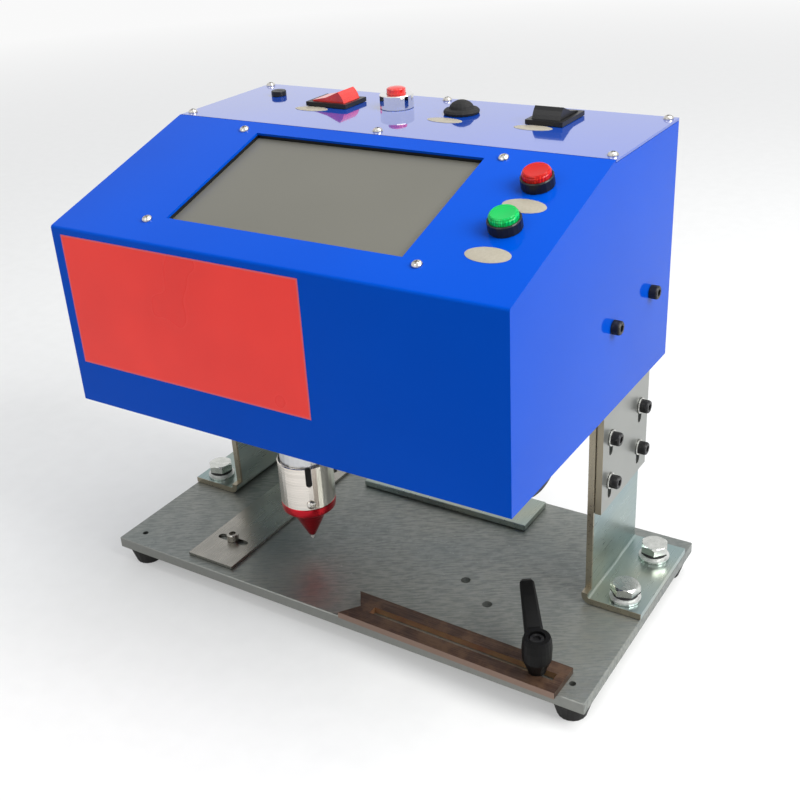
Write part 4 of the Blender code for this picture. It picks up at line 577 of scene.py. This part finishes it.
ink = vinyl.blend(print_tone, (0.86, 0.030, 0.022), (0.95, 0.042, 0.030))
vinyl.set("Base Color", vinyl.blend((1 - inside_x * inside_z) * 0.7, ink, (0.62, 0.12, 0.16)))
vinyl.set("Roughness", 0.26 + 0.12 * print_tone)
vinyl.bump(vinyl.noise(120.0, 3.0), 0.03, 0.0002)
vinyl.cover(sticker)
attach(sticker, "marking_unit")


# Oval labels: die cut cream paper stickers beside the buttons and switches, left bare.
# Two lie on the slope and three on the top panel, each put on a little askew.
slope_rise, slope_depth = 0.0375, 0.1215
slope_foot = Vector((0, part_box("housing")[0][1], 0.2673))
slope = Matrix.Translation(slope_foot) @ Matrix.Rotation(math.atan2(slope_rise, slope_depth), 4, "X")
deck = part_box("top_panel")[1][2]
paper = Finish("label_paper", (0.45, 0.41, 0.33), 0.35, Specular_IOR_Level=0.3)
fibre = paper.noise(700.0, 4.0)
# The paper's tone is darker than its cream. This is partly the average of the print that is left out, and
# partly painted shade.
paper.set("Base Color", paper.blend(paper.ramp(fibre, 0.3, 0.7), (0.33, 0.30, 0.235), (0.38, 0.345, 0.275)))
paper.set("Roughness", 0.32 + 0.2 * fibre)
paper.bump(fibre, 0.05, 0.0001)
label_sides = 48
label_rings = ((1.0, 0.00002), (1.0, 0.00014), (0.985, 0.00018))
for name, place, wide, tall, askew in (
        ("label_stop", slope @ Matrix.Translation((0.1210, 0.0780, 0)), 0.025, 0.0120, -0.02),
        ("label_start", slope @ Matrix.Translation((0.1214, 0.0356, 0)), 0.025, 0.0125, 0.03),
        ("label_power", Matrix.Translation((-0.0750, 0.0545, deck)), 0.024, 0.0110, 0.05),
        ("label_socket", Matrix.Translation((0.0228, 0.0566, deck)), 0.024, 0.0110, -0.04),
        ("label_light", Matrix.Translation((0.0810, 0.0582, deck)), 0.024, 0.0110, 0.04)):
    work = bmesh.new()
    lie = place @ Matrix.Rotation(askew, 4, "Z")
    turns = [math.tau * step / label_sides for step in range(label_sides)]
    rings = [[work.verts.new(lie @ Vector((wide / 2 * share * math.cos(turn),
                                           tall / 2 * share * math.sin(turn), height)))
              for turn in turns]
             for share, height in label_rings]
    for lower, upper in zip(rings, rings[1:]):
        for step in range(label_sides):
            other = (step + 1) % label_sides
            work.faces.new((lower[step], lower[other], upper[other], upper[step]))
    work.faces.new(rings[-1])
    work.faces.new(rings[0][::-1])
    label = shaped(name, work)
    paper.cover(label)
    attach(label, "marking_unit")


# Pan head screws: bright steel with a cross recess. They hold the display, the top panel
# and the cover together.
def pan_head(work):
    radius, crown_height, rim = 0.0030, 0.0019, 0.0004
    crown = [(radius * math.sin(math.radians(angle)), crown_height * math.cos(math.radians(angle)) + rim)
             for angle in (0, 18, 36, 54, 72, 90)]
    turned_mesh(work, crown + [(radius, 0.0), (0, 0.0)], 32)


def cross_key(turn):
    key_size, key_middle = (0.0032, 0.0007, 0.0022, 1), 0.0022
    return lambda work: bmesh.ops.create_cube(
        work, size=1, matrix=Matrix.Translation((0, 0, key_middle)) @ Matrix.Rotation(turn, 4, "Z")
        @ Matrix.Diagonal(key_size))


def pan_screw():
    return template("pan_screw", pan_head, (cross_key(0), cross_key(math.pi / 2)))


screw_steel = Finish("screw_steel", (0.62, 0.60, 0.55), 0.22, 1.0)
screw_mark = screw_steel.ramp(screw_steel.noise(700.0, 3.0), 0.35, 0.7)
screw_steel.set("Base Color", screw_steel.blend(screw_mark, (0.66, 0.64, 0.60), (0.45, 0.43, 0.39)))
screw_steel.set("Roughness", 0.16 + 0.2 * screw_mark)
paint_gap = 0.00005
out_of_slope = (slope.to_3x3() @ Vector((0, 0, 1))).normalized()
pan_places = [(slope @ Vector((across, up, paint_gap)), out_of_slope, 0.4 + 30 * across + 9 * up)
              for across in (-0.090, 0.090) for up in (0.0198, 0.1177)]
pan_places += [((across, along, deck + paint_gap), (0, 0, 1), 3 * across + 40 * along)
               for across in (-0.146, -0.002, 0.146) for along in (0.0205, 0.1035)]
pan_screws = repeated("panel_screws", pan_screw(), pan_places, screw_steel.material)
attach(pan_screws, "marking_unit")


# Display: a black moulded frame sunk behind the slope's opening, and in it a grey touch
# panel that is switched off and shows only a soft sheen. The panel's face stands higher
# in the frame than the plain node's.
moulded = Finish("black_moulding", (0.008, 0.008, 0.009), 0.32, Specular_IOR_Level=0.3)
moulded_grain = moulded.noise(1600.0, 2.0)
moulded_tone = moulded.ramp(moulded.noise(60.0), 0.3, 0.7)
moulded.set("Base Color", moulded.blend(moulded_tone, (0.005, 0.005, 0.006), (0.012, 0.012, 0.012)))
moulded.set("Roughness", 0.26 + 0.16 * moulded_grain)
moulded.bump(moulded_grain, 0.10, 0.0001)
moulded.cover("display_frame")
panel_glass = Finish("touch_panel", (0.20, 0.19, 0.15), 0.34)
panel_grain = panel_glass.noise(2600.0, 2.0)
sheen = panel_glass.ramp(panel_glass.noise(6.0, 2.0), 0.3, 0.7)
panel_glass.set("Base Color", panel_glass.blend(sheen, (0.110, 0.107, 0.086), (0.132, 0.128, 0.104)))
panel_glass.set("Roughness", 0.30 + 0.10 * panel_grain)
panel_glass.bump(panel_grain, 0.04, 0.0001)
panel_raise = slope.to_3x3() @ Vector((0, 0, 0.0024))
work = bmesh.new()
work.from_mesh(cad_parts["touch_glass"].data)
bmesh.ops.remove_doubles(work, verts=work.verts[:], dist=0.00001)
heights = [(slope.inverted() @ vertex.co).z for vertex in work.verts]
for vertex, height in zip(work.verts, heights):
    if height > (min(heights) + max(heights)) / 2:
        vertex.co += panel_raise
touch_panel = shaped("touch_panel", work)
panel_glass.cover(touch_panel)
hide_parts("touch_glass")
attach(touch_panel, "marking_unit")


# Push buttons: red and green lenses with a fine prism pattern moulded inside, in black
# bezels that clamp them to the slope. Each lens moves into its bezel when it is pressed.
def lens_finish(name, dark, light):
    lens = Finish(name, light, 0.16, 0.0, Specular_IOR_Level=0.20)
    rows_across, rows_along = (lens.node("ShaderNodeTexWave", {"bands_direction": way},
                                         {"Vector": lens.place, "Scale": 260.0, "Distortion": 0.0})
                               for way in ("X", "Y"))
    prism = rows_across * rows_along
    lens.set("Base Color", lens.blend(prism, dark, light))
    lens.set("Roughness", 0.12 + 0.10 * prism)
    # Painted glow: the lenses shine faintly in their prism colours, though no lamp lights them.
    lens.set("Emission Color", lens.blend(prism, dark, light))
    lens.set("Emission Strength", 0.10)
    return lens


def lens_piece(name, node, centre_up, finish):
    """A fluted cap with a stepped rim and a slightly hollow top, in place of the plain one."""
    low, high = (slope.inverted() @ Vector(corner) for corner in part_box(node))
    rim_high, rim_low, fluted_beyond = 0.0082, 0.0050, 0.0070
    profile = ((0.0, 0.00945), (0.0042, 0.0095), (0.0060, 0.0098), (0.0066, 0.0098), (0.0072, 0.0093),
               (0.0074, 0.0086), (0.0079, rim_high), (0.0079, rim_low), (0.0066, rim_low), (0.0066, 0.0008),
               (0.0030, 0.0008), (0.0030, -0.0112), (0.0, -0.0112))
    sides, flute_depth = 96, 0.00012
    work = bmesh.new()
    rings = []
    for radius, height in profile:
        if radius == 0:
            rings.append([work.verts.new((0, 0, height))] * sides)
            continue
        flute = flute_depth if height in (rim_high, rim_low) and radius > fluted_beyond else 0.0
        reaches = [radius - flute * (step % 4 > 1) for step in range(sides)]
        rings.append([work.verts.new((reach * math.cos(math.tau * step / sides),
                                      reach * math.sin(math.tau * step / sides), height))
                      for step, reach in enumerate(reaches)])
    for upper, lower in zip(rings, rings[1:]):
        for step in range(sides):
            other = (step + 1) % sides
            work.faces.new(list(dict.fromkeys((upper[step], lower[step], lower[other], upper[other]))))
    bmesh.ops.recalc_face_normals(work, faces=work.faces[:])
    work.transform(slope @ Matrix.Translation(((low.x + high.x) / 2, centre_up, 0)))
    lens = shaped(name, work)
    finish.cover(lens)
    return lens


moulded.cover("red_button_bezel", "green_button_bezel")
red_lens = lens_finish("red_lens", (0.36, 0.004, 0.003), (0.68, 0.022, 0.012))
red_cap = lens_piece("red_lens_cap", "red_button", 0.0971, red_lens)
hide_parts("red_button")
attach(red_cap, "red_press")
green_lens = lens_finish("green_lens", (0.001, 0.30, 0.05), (0.005, 0.62, 0.14))
green_cap = lens_piece("green_lens_cap", "green_button", 0.0583, green_lens)
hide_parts("green_button")
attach(green_cap, "green_press")


# Controls on the top panel: a chrome plated button body with a glossy red cap, a red and
# a black rocker snapped into black moulded frames, a moulded fuse cap and a rubber dust
# cap pressed over the socket.
chrome = Finish("chrome_plate", (0.78, 0.78, 0.77), 0.06, 1.0)
haze = chrome.noise(500.0, 3.0)
chrome.set("Base Color", chrome.blend(haze, (0.74, 0.74, 0.73), (0.83, 0.83, 0.82)))
chrome.set("Roughness", 0.03 + 0.08 * haze)
chrome.cover("chrome_button_body")
red_gloss = Finish("red_gloss", (0.62, 0.020, 0.014), 0.22, 0.0, Coat_Weight=0.5, Coat_Roughness=0.08)
mottle = red_gloss.ramp(red_gloss.noise(140.0, 2.0), 0.3, 0.7)
red_gloss.set("Base Color", red_gloss.blend(mottle, (0.56, 0.016, 0.012), (0.68, 0.028, 0.020)))
red_gloss.set("Roughness", 0.18 + 0.10 * mottle)
red_gloss.cover("chrome_button_cap", "power_rocker")
moulded.cover("power_switch_body", "light_switch_body", "light_rocker", "fuse_cap")
rubber.cover("dust_cap")


# Marking head: a ground steel sleeve with turning marks, a red anodised nose and the
# hardened stylus, all turned on a lathe. A set screw near the sleeve's foot holds the
# nose, and a rubber strip closes the slot above it.
sleeve_low, sleeve_high = (Vector(corner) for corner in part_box("head_sleeve"))
head_axis = (sleeve_low + sleeve_high) / 2
ground = Finish("ground_steel", (0.56, 0.54, 0.50), 0.22, 1.0)
turning = ground.noise(1.0, 3.0, ground.stretched(30, 30, 5200))
ground_tone = ground.ramp(turning, 0.35, 0.65)
ground.set("Base Color", ground.blend(ground_tone, (0.86, 0.81, 0.75), (0.66, 0.62, 0.56)))
ground.set("Roughness", 0.16 + 0.16 * turning)
ground.bump(turning, 0.08, 0.0001)
ground.cover("head_sleeve")
anodised = Finish("red_anodised", (0.66, 0.010, 0.028), 0.24, 0.85, Coat_Weight=0.10, Coat_Roughness=0.1)
lathe_rings = anodised.noise(1.0, 2.0, anodised.stretched(20, 20, 4200))
anodised.set("Base Color", anodised.blend(lathe_rings, (0.50, 0.005, 0.015), (0.62, 0.011, 0.026)))
anodised.set("Roughness", 0.18 + 0.14 * lathe_rings)
anodised.bump(lathe_rings, 0.08, 0.0001)


def turned_piece(name, node, profile, finish, body):
    """A lathe piece on the head's axis that takes the place of a plainer one."""
    work = bmesh.new()
    turned_mesh(work, profile, 96)
    work.transform(Matrix.Translation((head_axis.x, head_axis.y, 0)))
    piece = shaped(name, work)
    finish.cover(piece)
    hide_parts(node)
    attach(piece, body)


nose_top, nose_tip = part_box("nose_cone")[1][2], 0.0337
nose_ring, nose_bore, edge_break = 0.0184, 0.0015, 0.0004
turned_piece("nose_turned", "nose_cone",
             [(nose_bore, nose_top), (nose_ring - edge_break, nose_top), (nose_ring, nose_top - edge_break),
              (nose_ring, 0.0602), (0.0180, 0.0582), (0.0168, 0.0571), (0.0136, 0.0569), (0.0130, 0.0566),
              (0.0080, 0.0456), (0.0025, 0.0342), (0.0021, nose_tip), (nose_bore, nose_tip)],
             anodised, "head")
pin_steel = Finish("stylus_steel", (0.82, 0.80, 0.76), 0.42, 0.55)
pin_grind = pin_steel.noise(1.0, 2.0, pin_steel.stretched(60, 60, 6000))
pin_steel.set("Base Color", pin_steel.blend(pin_grind, (0.70, 0.68, 0.64), (0.92, 0.90, 0.86)))
pin_steel.set("Roughness", 0.34 + 0.16 * pin_grind)
pin_top, pin_tip, pin_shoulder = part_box("stylus_pin")[1][2], 0.0298, 0.0783
pin_head, pin_radius = 0.0050, 0.0012
turned_piece("stylus_turned", "stylus_pin",
             [(0, pin_top), (pin_head - edge_break, pin_top), (pin_head, pin_top - edge_break),
              (pin_head, pin_shoulder + edge_break), (pin_head - edge_break, pin_shoulder),
              (pin_radius, pin_shoulder), (pin_radius, 0.0314), (0.0004, 0.0300), (0, pin_tip)],
             pin_steel, "stylus")
slot_turn = math.radians(-47)
set_way = Vector((math.cos(slot_turn), math.sin(slot_turn), 0))
set_seat, set_rise = 0.01855, 0.0042
set_place = Vector((head_axis.x, head_axis.y, sleeve_low.z + set_rise)) + set_way * set_seat
set_screw = repeated("sleeve_screw", pan_screw(), [(set_place, set_way, 0.5)], screw_steel.material)
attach(set_screw, "head")
strip_inner, strip_outer, strip_half = 0.01720, 0.01815, 0.0019
strip_low, strip_high = sleeve_high.z - 0.0134, sleeve_high.z - 0.0004
work = bmesh.new()
strip_corners = []
for deep in (strip_inner, strip_outer):
    for rise in (strip_low, strip_high):
        for side in (-strip_half, strip_half):
            turn = slot_turn + side / deep
            strip_corners.append(work.verts.new((head_axis.x + deep * math.cos(turn),
                                                 head_axis.y + deep * math.sin(turn), rise)))
for corner_set in ((0, 1, 3, 2), (4, 6, 7, 5), (0, 4, 5, 1), (2, 3, 7, 6), (0, 2, 6, 4), (1, 5, 7, 3)):
    work.faces.new([strip_corners[index] for index in corner_set])
bmesh.ops.recalc_face_normals(work, faces=work.faces[:])
bmesh.ops.bevel(work, geom=work.edges[:], offset=0.0002, segments=2, affect="EDGES")
sleeve_strip = shaped("sleeve_strip", work)
rubber.cover(sleeve_strip)
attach(sleeve_strip, "head")


# Side fence: a ground stainless strip against which the nameplate is laid. It is slotted
# for the two screws that clamp it to the bed plate.
fence_steel = Finish("fence_steel", (0.36, 0.35, 0.33), 0.30, 1.0)
fence_lines = fence_steel.noise(1.0, 3.0, fence_steel.stretched(1500, 30, 600))
smudge = fence_steel.ramp(fence_steel.noise(45.0, 4.0), 0.35, 0.7)
fence_steel.set("Base Color", fence_steel.blend(smudge, (0.33, 0.318, 0.288), (0.24, 0.234, 0.215)))
fence_steel.set("Roughness", 0.18 + 0.12 * fence_lines + 0.10 * smudge)
fence_steel.bump(fence_lines, 0.06, 0.0001)
fence_steel.cover("side_fence", "fence_screw_front", "fence_screw_rear")


# Clamp bar: a hot rolled flat with brown scale on its faces and pinker sawn front edges.
# Its slot is freshly milled and shows straw and brown temper colours.
scale = Finish("mill_scale", (0.09, 0.045, 0.025), 0.48, 0.55)
rust = scale.noise(60.0, 6.0, rough=0.65)
bar_lines = scale.noise(1.0, 4.0, scale.stretched(40, 1400, 400))
rust_stops = ((0.30, (0.026, 0.013, 0.009)), (0.48, (0.052, 0.025, 0.015)), (0.62, (0.12, 0.066, 0.037)),
              (0.75, (0.052, 0.028, 0.019)))
brown = scale.node("ShaderNodeValToRGB", {"stops": rust_stops}, {"Fac": rust})
bar_low, bar_high = (Vector(corner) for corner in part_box("clamp_bar"))
bar_middle = (bar_low + bar_high) / 2
bar_lie = math.tan(math.radians(-1.1))
beside = scale.axis("Y") - bar_middle.y - bar_lie * (scale.axis("X") - bar_middle.x)
bar_edge, slot_half = 0.0124, 0.0034
slot_start, slot_stop = bar_low.x + 0.0170, bar_high.x - 0.0050
bar_front = beside < -bar_edge
milled = ((abs(beside) < slot_half) * (scale.axis("Z") < bar_high.z - 0.0001)
          * scale.between("X", slot_start, slot_stop))
faces_brown = scale.blend(scale.ramp(bar_lines, 0.45, 0.65) * 0.4, brown, (0.165, 0.105, 0.075))
edges_pink = scale.blend(bar_front, faces_brown, (0.225, 0.15, 0.115))
straw = scale.ramp(scale.noise(26.0, 3.0), 0.38, 0.62)
temper = scale.blend(straw, (0.40, 0.26, 0.115), (0.26, 0.115, 0.07))
scale.set("Base Color", scale.blend(milled, edges_pink, temper))
scale.set("Roughness", 0.34 + 0.25 * rust)
scale.set("Metallic", 0.45 + 0.3 * rust)
scale.bump(rust * 0.6 + bar_lines * 0.4, 0.22, 0.0003)
scale.cover("clamp_bar")


# Clamp lever: a satin black moulded handle with a fine pebble grain. Its hub turns on a
# black oxide steel stud and clamps the bar to the bed plate.
lever_black = Finish("lever_moulding", (0.003, 0.003, 0.003), 0.36, Specular_IOR_Level=0.10)
pebble = lever_black.noise(1300.0, 3.0)
lever_black.set("Base Color", lever_black.blend(pebble, (0.002, 0.002, 0.002), (0.007, 0.007, 0.007)))
lever_black.set("Roughness", 0.30 + 0.18 * pebble)
lever_black.bump(pebble, 0.15, 0.0001)
lever_black.cover("clamp_lever")
oxide.cover("lever_insert")


# Inside works: machined aluminium beam, carriage and head core on ground steel rails and
# lead screws, black motors, a wound copper coil, the green board and the supply's pressed
# case. The closed cover hides them all.
machined = Finish("machined_aluminium", (0.60, 0.61, 0.62), 0.32, 0.95)
passes = machined.noise(1.0, 3.0, machined.stretched(90, 900, 900))
machined.set("Base Color", machined.blend(passes, (0.55, 0.56, 0.57), (0.68, 0.69, 0.70)))
machined.set("Roughness", 0.24 + 0.16 * passes)
machined.bump(passes, 0.08, 0.0001)
machined.cover("gantry_beam", "head_carriage", "head_core", "power_supply")
ground.cover("x_rail", "y_rail_left", "y_rail_right", "x_lead_screw", "y_lead_screw")
oxide.cover("x_motor", "y_motor")
winding = Finish("enamelled_copper", (0.50, 0.17, 0.07), 0.28, 0.9)
wire_rows = winding.node("ShaderNodeTexWave", {"bands_direction": "Z"},
                         {"Vector": winding.place, "Scale": 420.0, "Distortion": 0.4})
winding.set("Base Color", winding.blend(wire_rows, (0.28, 0.08, 0.03), (0.60, 0.23, 0.10)))
winding.set("Roughness", 0.22 + 0.2 * wire_rows)
winding.bump(wire_rows, 0.4, 0.0002)
winding.cover("striking_coil")
board = Finish("circuit_board", (0.02, 0.19, 0.07), 0.42)
traces = board.node("ShaderNodeTexBrick", {"offset": 0.5},
                    {"Vector": board.place, "Scale": 90.0, "Mortar Size": 0.04})
board.set("Base Color", board.blend(board.ramp(traces, 0.2, 0.8), (0.012, 0.15, 0.055), (0.03, 0.25, 0.09)))
board.set("Roughness", 0.36 + 0.2 * board.noise(300.0))
board.bump(traces, 0.15, 0.0002)
board.cover("control_board")


# Wiring loop: a black flexible cable in a spiral wrap that sags below the cover between
# two nylon clips on the right side plate, slack for the travelling head.
loop_radius = 0.0036
loop_front, loop_span, loop_top, loop_sag = -0.0650, 0.050, 0.1673, 0.0374
loop_steps, ring_sides = 96, 20
loop_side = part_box("wiring_loop")[0][0] + loop_radius
loop_path = []
for step in range(loop_steps + 1):
    turn = math.pi * step / loop_steps
    loop_path.append((loop_side, loop_front + loop_span * (1 - math.cos(turn)) / 2,
                      loop_top - loop_sag * math.sqrt(max(math.sin(turn), 0.0))))
work = bmesh.new()
rings = []
across = Vector((1, 0, 0))
for index, point in enumerate(loop_path):
    before, after = Vector(loop_path[max(index - 1, 0)]), Vector(loop_path[min(index + 1, loop_steps)])
    out = (after - before).normalized().cross(across)
    turns = [math.tau * side / ring_sides for side in range(ring_sides)]
    reaches = [loop_radius * (math.cos(turn) * across + math.sin(turn) * out) for turn in turns]
    rings.append([work.verts.new(Vector(point) + reach) for reach in reaches])
for first, second in zip(rings, rings[1:]):
    for side in range(ring_sides):
        other = (side + 1) % ring_sides
        work.faces.new((first[side], first[other], second[other], second[side]))
work.faces.new(rings[0][::-1])
work.faces.new(rings[-1])
bmesh.ops.recalc_face_normals(work, faces=work.faces[:])
loop = shaped("wiring_loop_cable", work)
wrap = Finish("spiral_wrap", (0.010, 0.010, 0.010), 0.5, Specular_IOR_Level=0.3)
wrap_turns = wrap.node("ShaderNodeTexWave", {"bands_direction": "DIAGONAL"},
                       {"Vector": wrap.place, "Scale": 160.0, "Distortion": 0.3})
wrap.set("Base Color", wrap.blend(wrap_turns, (0.005, 0.005, 0.005), (0.022, 0.022, 0.022)))
wrap.set("Roughness", 0.40 + 0.2 * wrap_turns)
wrap.bump(wrap_turns, 0.5, 0.0003)
wrap.cover(loop)
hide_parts("wiring_loop")
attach(loop, "marking_unit")
clip_side = loop_side - 0.006
plate_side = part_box("wiring_loop")[1][0]
clip_size, clip_height, clip_round = 0.012, 0.1730, 0.0012
work = bmesh.new()
for along in (loop_path[0][1], loop_path[-1][1]):
    clip_middle = Matrix.Translation(((clip_side + plate_side) / 2, along, clip_height))
    clip_shape = Matrix.Diagonal((plate_side - clip_side, clip_size, clip_size, 1))
    block = bmesh.ops.create_cube(work, size=1, matrix=clip_middle @ clip_shape)
    bmesh.ops.bevel(work, geom=list({edge for vert in block["verts"] for edge in vert.link_edges}),
                    offset=clip_round, segments=3, affect="EDGES")
clips = shaped("loop_clips", work)
moulded.cover(clips)
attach(clips, "marking_unit")
